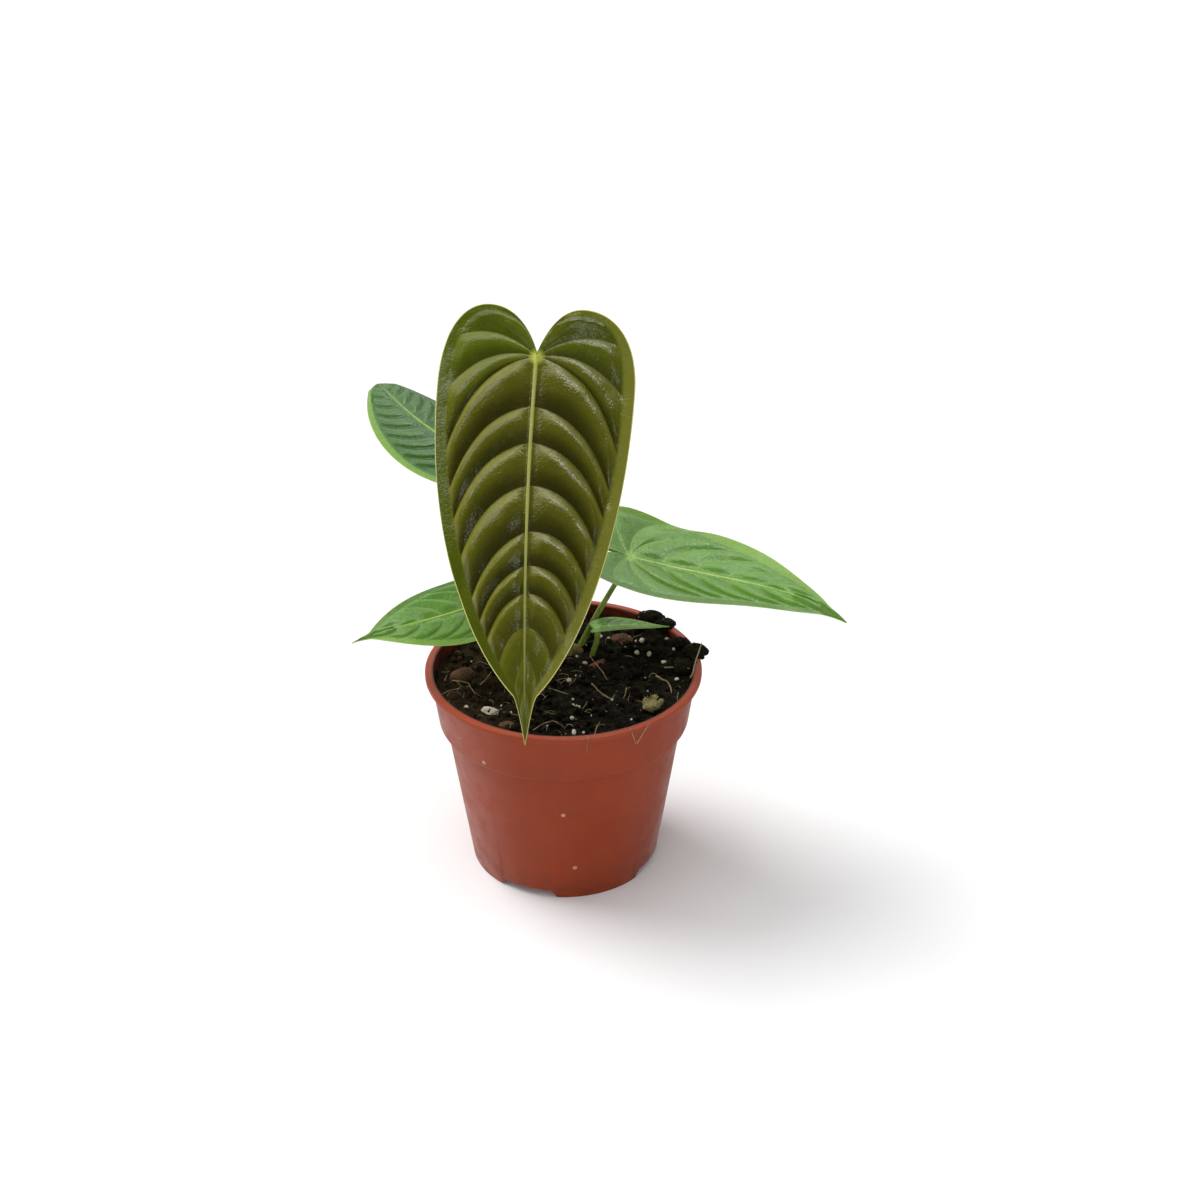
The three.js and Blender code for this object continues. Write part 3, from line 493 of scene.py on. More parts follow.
def tube(path, radii, sides):
    """A closed tube along a path, with a radius at each of its points."""
    path = np.asarray(path, float)
    along = unit(np.gradient(path, axis=0))
    normal = unit(np.cross(along[0], (0.3, 0.2, 1) if abs(along[0][2]) < 0.9 else (1, 0.2, 0)))
    angles = 2 * np.pi * np.arange(sides) / sides
    rings = []
    for place, direction, radius in zip(path, along, radii):
        normal = unit(normal - direction * np.dot(normal, direction))
        other = np.cross(direction, normal)
        spokes = np.outer(np.cos(angles), normal) + np.outer(np.sin(angles), other)
        rings.append(place + radius * spokes)
    return np.concatenate([*rings, path[:1], path[-1:]]), capped_grid(len(path), sides)


def thread(points, radius, seed, wander=0.5, sides=6):
    """A thin root or straw through a few points, wandering a little and tapering to its end."""
    points = np.asarray(points, float)
    lengths = way_along(points)
    steps = max(8, int(lengths[-1] / 0.8))
    at = np.linspace(0, lengths[-1], steps + 1)
    path = np.stack([np.interp(at, lengths, points[:, k]) for k in range(3)], -1)
    for _ in range(3):
        path[1:-1] = (path[:-2] + 2 * path[1:-1] + path[2:]) / 4
    sway = np.stack([noise(path, 4, seed + k) - 0.5 for k in range(3)], -1)
    path = path + wander * sway * np.array([1, 1, 0.6])
    radii = radius * (1 - 0.5 * at / lengths[-1]) * (0.85 + 0.3 * noise(path, 1.5, seed + 5))
    return tube(path, radii, sides)


# Pot


def body_inside(z, wall):
    """Inner radius of the pot's tapered body at a height."""
    return POT_FOOT_RADIUS + (POT_BODY_RADIUS - POT_FOOT_RADIUS) * z / POT_STEP_Z - wall


def collar_inside(z, wall):
    """Inner radius of the pot's collar at a height."""
    (foot, foot_z), (top, top_z) = POT_COLLAR_FOOT, POT_COLLAR_TOP
    return foot + (top - foot) * (z - foot_z) / (top_z - foot_z) - wall


def filleted(corners, steps=5):
    """A profile of radius and height pairs whose corners are rounded by their third number."""
    profile = []
    for i, (r, z, fillet) in enumerate(corners):
        here = np.array([r, z])
        if fillet == 0 or i in (0, len(corners) - 1):
            profile.append(here)
            continue
        before = np.array(corners[i - 1][:2]) - here
        after = np.array(corners[i + 1][:2]) - here
        reach = min(fillet, 0.45 * np.linalg.norm(before), 0.45 * np.linalg.norm(after))
        start, end = here + reach * unit(before), here + reach * unit(after)
        for t in np.linspace(0, 1, steps + 1):
            profile.append((1 - t) ** 2 * start + 2 * t * (1 - t) * here + t * t * end)
    return np.array(profile)


def notch_rise(angles):
    """How far the foot ring is cut up at each angle, in millimetres."""
    rise = np.zeros_like(angles)
    half = NOTCH_WIDTH / 2
    for middle in np.radians(NOTCH_ANGLES):
        turn = (angles - middle + np.pi) % (2 * np.pi) - np.pi
        away = np.where(np.abs(turn) < 1, np.abs(POT_FOOT_RADIUS * np.sin(turn)), half)
        rise = np.maximum(rise, NOTCH_HEIGHT * np.clip((half - away) / NOTCH_SLANT, 0, 1))
    return rise


def pot_shape():
    """The pot as a lathe with its foot ring notched, before the drain holes."""
    wall = sizes().pot_wall / MM
    lip_foot = POT_COLLAR_TOP[1]
    top_inside = collar_inside(lip_foot, wall)
    ledge = POT_COLLAR_FOOT[1] + wall
    floor_top = POT_FLOOR_Z + POT_FLOOR_THICKNESS
    corners = [
        (0, 0, 0),
        (POT_PAD_RADIUS, 0, 0.4),
        (POT_PAD_RADIUS, POT_FLOOR_Z, 0.5),
        (body_inside(POT_FLOOR_Z, wall), POT_FLOOR_Z, 0.8),
        (body_inside(0, wall), 0, 0.35),
        (POT_FOOT_RADIUS, 0, 0.45),
        (POT_BODY_RADIUS, POT_STEP_Z, 0.9),
        (*POT_COLLAR_FOOT, 0.8),
        (*POT_COLLAR_TOP, 0.4),
        (POT_LIP_RADIUS, lip_foot, 0.7),
        (POT_LIP_RADIUS, POT_TOP_Z, 0.9),
        (top_inside, POT_TOP_Z, 0.9),
        (top_inside, lip_foot, 0.4),
        (collar_inside(ledge, wall), ledge, 0.9),
        (body_inside(ledge - 1.3, wall), ledge - 1.3, 0.9),
        (body_inside(floor_top, wall), floor_top, 1.2),
        (0, floor_top, 0),
    ]
    profile = filleted(corners)
    angles = set(np.round(ring_angles(POT_SECTORS), 6))
    for middle in np.radians(NOTCH_ANGLES):
        for away in (NOTCH_WIDTH / 2, NOTCH_WIDTH / 2 - NOTCH_SLANT):
            turn = math.asin(away / POT_FOOT_RADIUS)
            angles.update(((middle - turn) % (2 * np.pi), (middle + turn) % (2 * np.pi)))
    angles = np.array(sorted(angles))
    rise = notch_rise(angles)
    slope = (POT_BODY_RADIUS - POT_FOOT_RADIUS) / POT_STEP_Z
    in_foot = (profile[:, 0] > POT_PAD_RADIUS + 5) & (profile[:, 1] < 1)
    rings = []
    for (r, z), foot in zip(profile[1:-1], in_foot[1:-1]):
        lift = rise if foot else np.zeros_like(angles)
        rings.append(ring(r + slope * lift, angles, z + lift))
    points = np.concatenate([*rings, [(0, 0, profile[0][1])], [(0, 0, profile[-1][1])]])
    return points, capped_grid(len(rings), len(angles))


def drilled(points, faces):
    """Cuts the drain holes through the pot's floor."""
    cutters = []
    count = 40
    angles = ring_angles(count)
    low, high = POT_FLOOR_Z - 1, POT_FLOOR_Z + POT_FLOOR_THICKNESS + 1
    for i in range(DRAINS):
        turn = 2 * np.pi * (i + 0.5) / DRAINS
        centre = np.array([DRAIN_CIRCLE * math.cos(turn), DRAIN_CIRCLE * math.sin(turn), 0])
        corners = np.concatenate([ring(DRAIN_RADIUS, angles, z) + centre for z in (low, high)])
        caps = [tuple(range(count))[::-1], tuple(range(count, 2 * count))]
        cutters.append((corners, grid_faces(2, count, closed=True) + caps))
    pot, drill = helper(points, faces), helper(*joined(cutters))
    cut = pot.modifiers.new("drains", "BOOLEAN")
    cut.object = drill
    cut.solver = "EXACT"
    result = applied(pot)
    drop(pot)
    drop(drill)
    return result


# Leaf blades


def bezier(points, shares):
    """Points of a cubic curve at shares of its way."""
    t = np.asarray(shares, float)[..., None]
    a, b, c, d = (np.asarray(point, float) for point in points)
    return (1 - t) ** 3 * a + 3 * (1 - t) ** 2 * t * b + 3 * (1 - t) * t * t * c + t**3 * d


def bezier_slope(points, shares):
    """Direction of a cubic curve at shares of its way."""
    t = np.asarray(shares, float)[..., None]
    a, b, c, d = (np.asarray(point, float) for point in points)
    return unit((1 - t) ** 2 * (b - a) + 2 * (1 - t) * t * (c - b) + t * t * (d - c))


def half_edge(leaf, side):
    """Half of a blade's outline, from the notch round the lobe to the tip."""
    width, lobe, out = leaf["width"][side], leaf["lobe"][side], leaf["lobe_out"][side]
    notch, opening = leaf["notch"]
    drop_by, pull, back = leaf["belly"]
    neck, neck_at = leaf["shoulder"]
    neck_out = neck + pull * width / USUAL_WIDTH
    lobe_end, widest, waist = (out, -lobe), (width, leaf["widest"]), (neck, neck_at)
    curves = (
        ((0, -SINUS), (notch, -0.5 * lobe), (opening * out, -lobe), lobe_end),
        (lobe_end, (out + 0.55 * (width - out), -lobe), (width, -0.04 - 0.2 * lobe), widest),
        (widest, (width, leaf["widest"] + drop_by), (neck_out, neck_at - back), waist),
        (waist, (0.62 * neck, neck_at + 0.02), (0.36 * neck, neck_at + 0.07), (0, 1)),
    )
    shares = np.linspace(0, 1, EDGE_STEPS + 1)
    return np.concatenate([bezier(curve, shares[min(i, 1):]) for i, curve in enumerate(curves)])


def shares_between(veins, steps, usual_span=None):
    """Shares on and between veins, crowded near each vein, with how many veins lie before each."""
    shares, phases = [], []
    for i, (start, end) in enumerate(zip(veins, veins[1:])):
        longer = 1 if usual_span is None else max(1, (end - start) / usual_span)
        count = math.ceil(steps * longer)
        even = np.arange(count) / count
        crowded = even - 0.75 * np.sin(2 * np.pi * even) / (2 * np.pi)
        shares.append(start + (end - start) * crowded)
        phases.append(i + crowded)
    return np.concatenate(shares), np.concatenate(phases)


def blade_rows(leaf, side):
    """Rows of a half blade: roots, bends and ends in shares of the midrib, and what they carry."""
    edge = half_edge(leaf, side)
    lengths = way_along(edge)
    start = EDGE_STEPS * 3 // 2
    outer_x, outer_y = edge[start:, 0], edge[start:, 1]
    branch = np.interp(leaf["sweep"], outer_y, lengths[start:])
    shares, phases = shares_between(leaf["lobe_veins"], leaf["rows"], LOBE_SPAN)
    x = np.interp(branch * shares, lengths, edge[:, 0])
    y = np.interp(branch * shares, lengths, edge[:, 1])
    bulge = LOBE_BULGE * smoothstep(0.2, 0.5, shares) * (1 - smoothstep(0.6, 1, shares))
    bend_x = x * (LOBE_BEND[0] + (BEND - LOBE_BEND[0]) * shares**2)
    bend_y = y * (LOBE_BEND[1] + (BEND_RISE - LOBE_BEND[1]) * shares**2) - bulge
    lobe = dict(
        root=np.zeros((len(shares), 2)),
        bend=np.stack([bend_x, bend_y], -1),
        end=np.stack([x, y], -1),
        edge=branch * shares / lengths[-1],
        phase=phases - (len(leaf["lobe_veins"]) - 1),
        along=LOBE_SHARE * shares,
        relief=np.full(len(shares), LOBE_RELIEF),
        settle=np.full(len(shares), LOBE_SETTLE),
    )
    own, phases = shares_between([*leaf["veins"][side], 1], leaf["rows"])
    other, _ = shares_between([*leaf["veins"][1 - side], 1], leaf["rows"])
    own, other = np.append(own, 1), np.append(other, 1)
    phases = np.append(phases, len(leaf["veins"][side]))
    y = np.minimum(1, own + leaf["sweep"] * (1 - own) ** SWEEP_FADE)
    x = np.interp(y, outer_y, outer_x)
    x[-1] = 0
    main = dict(
        root=np.stack([0 * own, (own + other) / 2], -1),
        bend=np.stack([BEND * x, own + (y - own) * BEND_RISE], -1),
        end=np.stack([x, y], -1),
        edge=np.interp(y, outer_y, lengths[start:]) / lengths[-1],
        phase=phases,
        along=LOBE_SHARE + (1 - LOBE_SHARE) * own,
        relief=np.clip(1 + (leaf["smooth_from"] - own) / SMOOTH_OVER, TIP_RELIEF, 1),
        settle=np.full(len(own), SETTLE),
    )
    return {key: np.concatenate([lobe[key], main[key]]) for key in lobe}


def swelling(phase):
    """Rounded swelling between two side veins, steep just past the first one."""
    share = phase - np.floor(phase)
    return np.sin(np.pi * share**0.72)


def minor_swelling(phase):
    """The weaker swellings that fine ribs raise halfway between two side veins."""
    share = phase - np.floor(phase)
    uneven = 0.3 + 0.7 * np.abs(np.sin(2.3 * np.floor(phase) + 1))
    return np.exp(-(((share - 0.62) / 0.1) ** 2)) * uneven


def midrib_curve(leaf):
    """The midrib's four curve points, its length and the share at each of many even lengths."""
    start, end = np.array(leaf["junction"], float), np.array(leaf["tip"], float)
    span = np.linalg.norm(end - start)
    away, home = unit(np.array(leaf["leaves"], float)), unit(np.array(leaf["arrives"], float))
    first, second = leaf["handles"]
    points = (start, start + away * span * first, end - home * span * second, end)
    shares = np.linspace(0, 1, 400)
    lengths = way_along(bezier(points, shares))
    return points, lengths[-1], lambda part: np.interp(part * lengths[-1], lengths, shares)


def face_normal(leaf, tangent):
    face = np.array(leaf["face"], float)
    return unit(face - tangent * np.sum(face * tangent, -1, keepdims=True))


def place_on_blade(leaf, side, x, y):
    """Where points of the flat blade lie in space, and the way the face looks there."""
    curve, length, share_at = midrib_curve(leaf)
    share = share_at(np.clip(y / length, 0, 1))
    tangent = bezier_slope(curve, share)
    normal = face_normal(leaf, tangent)
    across = np.cross(normal, tangent) * (1 if side == 1 else -1)
    back = np.minimum(0, y)
    fold = math.radians(leaf["fold"][side])
    curl = math.radians(leaf["curl"][side]) / (USUAL_WIDTH * length)
    angle = fold + curl * x
    out = (np.sin(angle) - math.sin(fold)) / curl
    rise = (math.cos(fold) - np.cos(angle)) / curl
    rise = rise + leaf["lobe_lift"][side] * np.abs(back / length) ** 1.3 * length
    place = bezier(curve, share) + tangent * back[..., None]
    return place + across * out[..., None] + normal * rise[..., None], normal


def rib_strength(length, along):
    """How strong a blade's ribs are for its length, and how they taper along it."""
    taper = np.sqrt(np.clip(1 - (along - LOBE_SHARE) / (1 - LOBE_SHARE), 0, 1))
    return np.clip(length / 140, 0.4, 1), taper


def fine_relief(leaf, side, x, y, along, across):
    """The raised midrib with a groove on either side, slow waves, and puckers towards the edge."""
    _, length, _ = midrib_curve(leaf)
    strength, taper = rib_strength(length, along)
    from_rib = np.hypot(x, np.minimum(0, y))
    ridge = sizes().midrib_height / MM * np.exp(-((from_rib / (0.85 * strength)) ** 2))
    groove = 0.45 * np.exp(-(((from_rib - 2.0) / 0.9) ** 2)) * smoothstep(2, 12, y)
    flat = np.stack([x, y, np.full_like(x, 40.0 * side)], -1)
    inside = smoothstep(1, 0.8, across) * smoothstep(0, 0.1, across)
    waves = 1.1 * (layered(flat, 8, 31) - 0.5) * inside
    outer = smoothstep(0.2, 0.6, across) * smoothstep(1, 0.84, across)
    outer = outer * smoothstep(0.95, 0.75, along)
    pinched = layered(flat * np.array([1, 0.6, 1]), 6.5, 57, layers=3, fade=0.4) - 0.5
    puckers = leaf["pucker"] * (0.25 + 0.75 * side) * outer * pinched
    return strength * ((ridge - groove) * (0.25 + 0.75 * taper) + waves) + puckers


def blade_columns():
    """Shares from midrib to edge, crowded at the midrib, the collecting vein and the edge."""
    return np.array([
        0, 0.007, 0.014, 0.022, 0.032, 0.045, 0.062, 0.085, 0.115, 0.15, 0.19, 0.235, 0.28, 0.33,
        0.38, 0.43, 0.48, 0.53, 0.58, 0.63, 0.675, 0.72, 0.755, 0.785, 0.81, 0.828, 0.84, 0.85,
        0.86, 0.872, 0.89, 0.91, 0.932, 0.952, 0.97, 0.983, 0.993, 1,
    ])


def blade_sheet(leaf):
    """The upper face of a blade: corners, faces and the marks that its finish reads."""
    _, length, _ = midrib_curve(leaf)
    columns = blade_columns()
    parts, marks = [], {}
    for side in (0, 1):
        rows = blade_rows(leaf, side)
        root, bend, end = (rows[key][:, None] for key in ("root", "bend", "end"))
        v = columns[None, :, None]
        flat = (1 - v) ** 2 * root + 2 * v * (1 - v) * bend + v * v * end
        v = columns[None, :]
        settle = rows["settle"][:, None]
        inner = np.sin(np.pi / 2 * np.minimum(1, v / settle) ** 1.5)
        outer = np.sin(np.pi / 2 * np.clip((COLLECTOR - v) / BAND, 0, 1))
        rolls = (swelling(rows["phase"]) * rows["relief"])[:, None]
        weaker = (minor_swelling(rows["phase"]) * rows["relief"])[:, None]
        weaker = weaker * np.exp(-(((v - 0.3) / 0.22) ** 2))
        quilt = leaf["quilt"] * sizes().quilting * inner * outer * (rolls + 0.16 * weaker)
        ruffle = 0 * quilt
        for centre, spread, height in leaf["ruffles"][side]:
            wave = np.exp(-(((rows["edge"] - centre) / spread) ** 2))[:, None]
            ruffle = ruffle + height * wave * v * v
        x, y = flat[..., 0] * length, flat[..., 1] * length
        lift = np.where(rows["root"][:, 1:] == 1, 0, quilt + ruffle)
        lift = lift + fine_relief(leaf, side, x, y, rows["along"][:, None], v)
        place, normal = place_on_blade(leaf, side, x, y)
        place = place + normal * lift[..., None]
        count = len(rows["phase"])
        parts.append((place.reshape(-1, 3), grid_faces(count, len(columns), flip=side == 1)))
        steps = np.linalg.norm(np.diff(place, axis=1), axis=2)
        from_rib = np.concatenate([np.zeros((count, 1)), np.cumsum(steps, axis=1)], axis=1)
        steps = np.linalg.norm(np.diff(place, axis=0), axis=2)
        down = np.concatenate([np.zeros((1, len(columns))), np.cumsum(steps, axis=0)])
        on_vein = np.flatnonzero(rows["phase"] == np.round(rows["phase"]))
        vein_gap = np.min(np.abs(down[:, None, :] - down[None, on_vein, :]), axis=1)
        heart = np.array(leaf["junction"], float)
        own = dict(
            along=np.repeat(rows["along"], len(columns)),
            across=np.tile(columns, count),
            half=np.full(count * len(columns), float(side)),
            phase=np.repeat(rows["phase"], len(columns)),
            vein_gap=vein_gap.ravel(),
            rib_gap=from_rib.ravel(),
            rim_gap=(from_rib[:, -1:] - from_rib).ravel(),
            heart_gap=np.linalg.norm(place - heart, axis=2).ravel(),
            face_way=np.broadcast_to(normal, place.shape).reshape(-1, 3),
        )
        for key, values in own.items():
            marks.setdefault(key, []).append(values)
    points, faces = joined(parts)
    return points, faces, {key: np.concatenate(values) for key, values in marks.items()}


def welded(points, faces, marks):
    """Joins corners that share a place and leaves out the faces that collapse."""
    keys = np.round(points / 2e-3).astype(np.int64)
    _, first, back = np.unique(keys, axis=0, return_index=True, return_inverse=True)
    back = back.ravel()
    kept = []
    for face in faces:
        corners = [back[corner] for corner in face]
        corners = [corner for i, corner in enumerate(corners) if corner != corners[i - 1]]
        if len(set(corners)) == len(corners) > 2:
            kept.append(tuple(int(corner) for corner in corners))
    return points[first], kept, {key: values[first] for key, values in marks.items()}


def rim_edges(faces):
    """Directed edges that belong to one face alone."""
    open_edges = {}
    for face in faces:
        for i, corner in enumerate(face):
            pair = (face[i - 1], corner)
            if not open_edges.pop(pair[::-1], None):
                open_edges[pair] = True
    return list(open_edges)


def blade(name, leaf):
    """A finished blade: quilted face, ribs standing out underneath and a thin round edge."""
    points, faces, marks = welded(*blade_sheet(leaf))
    thickness = sizes().blade_thickness / MM
    _, length, _ = midrib_curve(leaf)
    normals = marks.pop("face_way")
    strength, taper = rib_strength(length, marks["along"])
    inside = smoothstep(COLLECTOR + 0.02, COLLECTOR - 0.04, marks["across"])
    keel = np.exp(-((marks["rib_gap"] / (1.1 * strength)) ** 2))
    keel = 1.3 * strength * (0.2 + 0.8 * taper) * keel
    ribs = 0.35 * strength * np.exp(-((marks["vein_gap"] / 0.45) ** 2)) * inside
    thin = thickness * (0.55 + 0.45 * smoothstep(0, 1.5, marks["rim_gap"]))
    lower = points - normals * (thin + keel + ribs)[:, None]
    rim = rim_edges(faces)
    rim_corners = sorted({corner for pair in rim for corner in pair})
    outward = np.zeros_like(points)
    for a, b in rim:
        side_way = np.cross(points[b] - points[a], normals[a])
        outward[a] += side_way
        outward[b] += side_way
    middle = (points + lower)[rim_corners] / 2 + 0.12 * unit(outward[rim_corners])
    count = len(points)
    middle_of = {corner: 2 * count + i for i, corner in enumerate(rim_corners)}
    closed = list(faces)
    closed += [tuple(count + corner for corner in face[::-1]) for face in faces]
    for a, b in rim:
        closed.append((b, a, middle_of[a], middle_of[b]))
        closed.append((middle_of[b], middle_of[a], count + a, count + b))
    every = np.concatenate([points, lower, middle])
    full = {key: np.concatenate([at, at, at[rim_corners]]) for key, at in marks.items()}
    halves = np.full(len(rim_corners), 0.5)
    full["under"] = np.concatenate([np.zeros(count), np.ones(count), halves])
    slot, node = leaf["finish"], (f"blade_{name}",)
    skin = finish(f"{slot}_skin", leaf_finish)
    return piece(f"{name}_leaf", every, closed, skin, slot, node, full)


# Leaf stalks and crown


def stalk_path(leaf, shares):
    """The middle line of a leaf stalk, from its foot in the mix into the back of its blade."""
    curve, _, _ = midrib_curve(leaf)
    tangent = bezier_slope(curve, np.array(0.0))
    normal = face_normal(leaf, tangent)
    end = np.array(leaf["junction"], float) + tangent * leaf["stalk"][2] * 0.4 - normal * 1.5
    foot = np.array([*leaf["foot"], STALK_FOOT_Z])
    lean = unit(np.array(leaf["foot_lean"], float))
    first, second = leaf["stalk_handles"]
    return bezier((foot, foot + lean * first, end - normal * second, end), shares)


def stalk(name, leaf):
    """A finished leaf stalk: sheathing foot, slim middle and the swollen joint under the blade."""
    path = stalk_path(leaf, np.linspace(0, 1, STALK_ROWS))
    lengths = way_along(path)
    share = lengths / lengths[-1]
    foot, slim, joint = leaf["stalk"]
    swollen = np.exp(-(((share - 0.97) / 0.05) ** 2))
    radii = slim + (foot - slim) * (1 - share) ** 2.4 + (joint - slim) * swollen
    radii = radii * np.where(share > 0.985, 0.8, 1)
    points, faces = tube(path, radii, STALK_SIDES)
    centres = np.repeat(path, STALK_SIDES, axis=0)
    count = len(centres)
    outward = points[:count] - centres
    turn = np.tile(2 * np.pi * np.arange(STALK_SIDES) / STALK_SIDES, len(path))
    ribbing = 1 + 0.03 * np.cos(7 * turn) - 0.1 * np.exp(-((turn - 1.2) / 0.5) ** 2)
    points[:count] = centres + outward * ribbing[:, None]
    marks = {"along": np.append(np.repeat(share, STALK_SIDES), (0, 1))}
    skin, node = finish("stalk_skin", stalk_finish), (f"petiole_{name}",)
    return piece(f"{name}_stalk", points, faces, skin, "leaf_stalk", node, marks)


def crown_shape():
    """The short knobbly stem with the rings of old leaf scars."""
    x, y = CROWN_PLACE
    angles = ring_angles(CROWN_COLUMNS)
    heights = np.linspace(CROWN_FOOT_Z, CROWN_TOP_Z, CROWN_ROWS)
    share = (heights - CROWN_FOOT_Z) / (CROWN_TOP_Z - CROWN_FOOT_Z)
    scars = 0.9 + 0.08 * np.abs(np.sin(share * 9))
    radius = 5.0 * np.clip((1.02 - share) * 9, 0, 1) ** 0.5 * scars
    rings = [ring(r, angles, z) + (x, y, 0) for z, r in zip(heights, radius)]
    points = np.concatenate([*rings, [(x, y, CROWN_FOOT_Z)], [(x, y, CROWN_TOP_Z + 0.2)]])
    faces = capped_grid(CROWN_ROWS, CROWN_COLUMNS)
    normals = corner_normals(points, faces)
    return points + normals * (0.9 * (lumpy(points, 3.2, 5) - 0.6))[:, None], faces


# Potting mix and what lies on it


def soil_top(x, y):
    """Height of the potting mix at a place, before its crumbs."""
    reach = collar_inside(POT_COLLAR_TOP[1], sizes().pot_wall / MM)
    height = 88.4 - 1.8 * y / reach + 1.2 * x / reach
    for rise, along_x, along_y, phase in SOIL_ROLLS:
        height = height + rise * np.sin(along_x * x + along_y * y + phase)
    for mound_x, mound_y, rise, spread in SOIL_MOUNDS:
        height = height + rise * np.exp(-((x - mound_x) ** 2 + (y - mound_y) ** 2) / spread**2)
    return np.minimum(height, 92.2)


def ground_at(x, y):
    """Height of the mix at one place, as a plain number."""
    return float(soil_top(np.array(x), np.array(y)))


def scattered(random, reach=SCATTER_REACH):
    """A place somewhere on the mix, drawn evenly over a disc."""
    angle, away = 2 * np.pi * random.random(), reach * math.sqrt(random.random())
    return away * math.cos(angle), away * math.sin(angle)


def soil_shape():
    """The whole body of mix: a crumbly top, then down the inside of the pot to its floor."""
    wall = sizes().pot_wall / MM
    reach = collar_inside(POT_COLLAR_TOP[1], wall) - SOIL_EDGE_GAP
    angles = ring_angles(SOIL_SECTORS)
    shares = np.linspace(0, 1, SOIL_RINGS + 1)[1:]
    radius = reach * shares[:, None]
    x, y = radius * np.cos(angles), radius * np.sin(angles)
    z = soil_top(x, y)
    flat = np.stack([x, y, 0 * x], -1)
    rough = sizes().soil_roughness / MM
    lumps = lumpy(flat, 5.2, 3, layers=4, fade=0.62) - 0.62
    dips = layered(flat, 11, 8, layers=2) - 0.5
    z = z + rough * (1.7 * lumps + 1.3 * dips)
    edge = np.minimum(collar_inside(z[-1], wall), reach + SOIL_EDGE_GAP) - SOIL_EDGE_GAP
    shrink = 1 - (1 - edge / reach) * shares[:, None] ** 6
    top = np.stack([x * shrink, y * shrink, z], -1).reshape(-1, 3)
    steps = ((collar_inside, 71.0), (body_inside, 69.6), (body_inside, 6.0))
    lower = [ring(inside(depth, wall) - 0.25, angles, depth) for inside, depth in steps]
    poles = [(0, 0, float(np.mean(z[0]))), (0, 0, 6)]
    points = np.concatenate([top, *lower, poles])
    return points, capped_grid(SOIL_RINGS + len(lower), SOIL_SECTORS, flip=True)


def pebble(size, seed, detail, rough=0.28, cell=0.9):
    """An irregular lump stretched to its size, centred on nothing."""
    points, faces = ball(detail)
    shift = np.array([seed * 7.3, seed * 3.1, seed * 5.7])
    swell = 1 - rough + 2 * rough * layered(points + shift, cell, seed, layers=3)
    return points * swell[:, None] * np.array(size) / 2, faces


def crumb_shapes():
    """Loose crumbs of all sizes, spread evenly over the mix."""
    random = np.random.default_rng(11)
    parts = []
    for _ in range(sizes().crumb_count):
        angle, away = 2 * np.pi * random.random(), random.random()
        size = 0.7 + 3.4 * random.random() ** 4
        stretch, turn = 0.7 + 0.5 * random.random(3), 2 * np.pi * random.random()
        seed = int(1e5 * random.random())
        reach = (MIX_REACH - size / 2) * math.sqrt(away)
        x, y = reach * math.cos(angle), reach * math.sin(angle)
        shape, faces = pebble(size * stretch, seed, 3 if size > 2 else 2, rough=0.3, cell=0.8)
        z = min(ground_at(x, y) + 0.16 * size, 94)
        parts.append((turned(shape, turn) + (x, y, z), faces))
    return joined(parts)


def clod_shapes():
    """Crumbly clods heaped against the right of the rim and lying a little over it."""
    random = np.random.default_rng(31)
    parts = []
    for i, (place, size) in enumerate(CLODS):
        points, faces = ball(5)
        shift = points + 9.7 * i
        swell = 0.24 * layered(shift, 0.9, 40 + i, layers=2) + 0.16 * lumpy(shift, 0.32, 70 + i)
        points = points * (0.78 + swell)[:, None] * np.array(size) / 2 + np.array(place)
        radius = np.hypot(points[:, 0], points[:, 1])
        lip_top = POT_TOP_Z + 0.05 + 0.3 * noise(points, 1.2, 9)
        over_rim = smoothstep(LIP_INNER_RADIUS, LIP_INNER_RADIUS + 0.8, radius) * lip_top
        lifted = np.maximum(points[:, 2], over_rim)
        points[:, 2] = np.where(radius > LIP_INNER_RADIUS, lifted, points[:, 2])
        parts.append((points, faces))
        for _ in range(CLOD_CRUMBS):
            spot = points[random.integers(len(points))]
            lump = (0.6 + 1.6 * random.random() ** 2) * (0.7 + 0.5 * random.random(3))
            shape, its_faces = pebble(lump, int(random.integers(9999)), 2, rough=0.34, cell=0.7)
            if spot[2] > place[2] - 1 and np.hypot(spot[0], spot[1]) < CLOD_REACH:
                parts.append((shape + spot, its_faces))
    return joined(parts)


def crumbled(node, voxel, rough, cell, seed, stretch=(1, 1, 1)):
    """A finer copy of a loose piece's solid with a broken, grainy surface."""
    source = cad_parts[node]
    points = np.array([corner.co[:] for corner in source.data.vertices]) / MM
    faces = [tuple(face.vertices) for face in source.data.polygons]
    made = helper(points, faces)
    weld = made.modifiers.new("weld", "WELD")
    weld.merge_threshold = 1e-5
    fine = made.modifiers.new("fine", "REMESH")
    fine.mode = "VOXEL"
    fine.voxel_size = voxel * MM
    soften = made.modifiers.new("soften", "SMOOTH")
    soften.factor = 0.6
    soften.iterations = 3
    points, faces = applied(made)
    drop(made)
    normals = corner_normals(points, faces)
    field = points * np.array(stretch)
    broken = lumpy(field, cell, seed) - 0.55 + 0.8 * (layered(field, cell * 2.2, seed + 3) - 0.5)
    return points + normals * (rough * broken)[:, None], faces


def grain_shapes():
    """Small pale grains, where they lie in the mix and a few more scattered between them."""
    random = np.random.default_rng(23)
    places = list(GRAINS)
    for _ in range(STRAY_GRAINS):
        places.append((*scattered(random), 0.6 + 0.7 * random.random()))
    parts = []
    for i, (x, y, size) in enumerate(places):
        stretch = 0.75 + 0.45 * random.random(3)
        shape, faces = pebble(size * stretch, 300 + i, 2, rough=0.34, cell=0.7)
        parts.append((shape + (x, y, ground_at(x, y) + 0.5 + 0.2 * size), faces))
    return joined(parts)


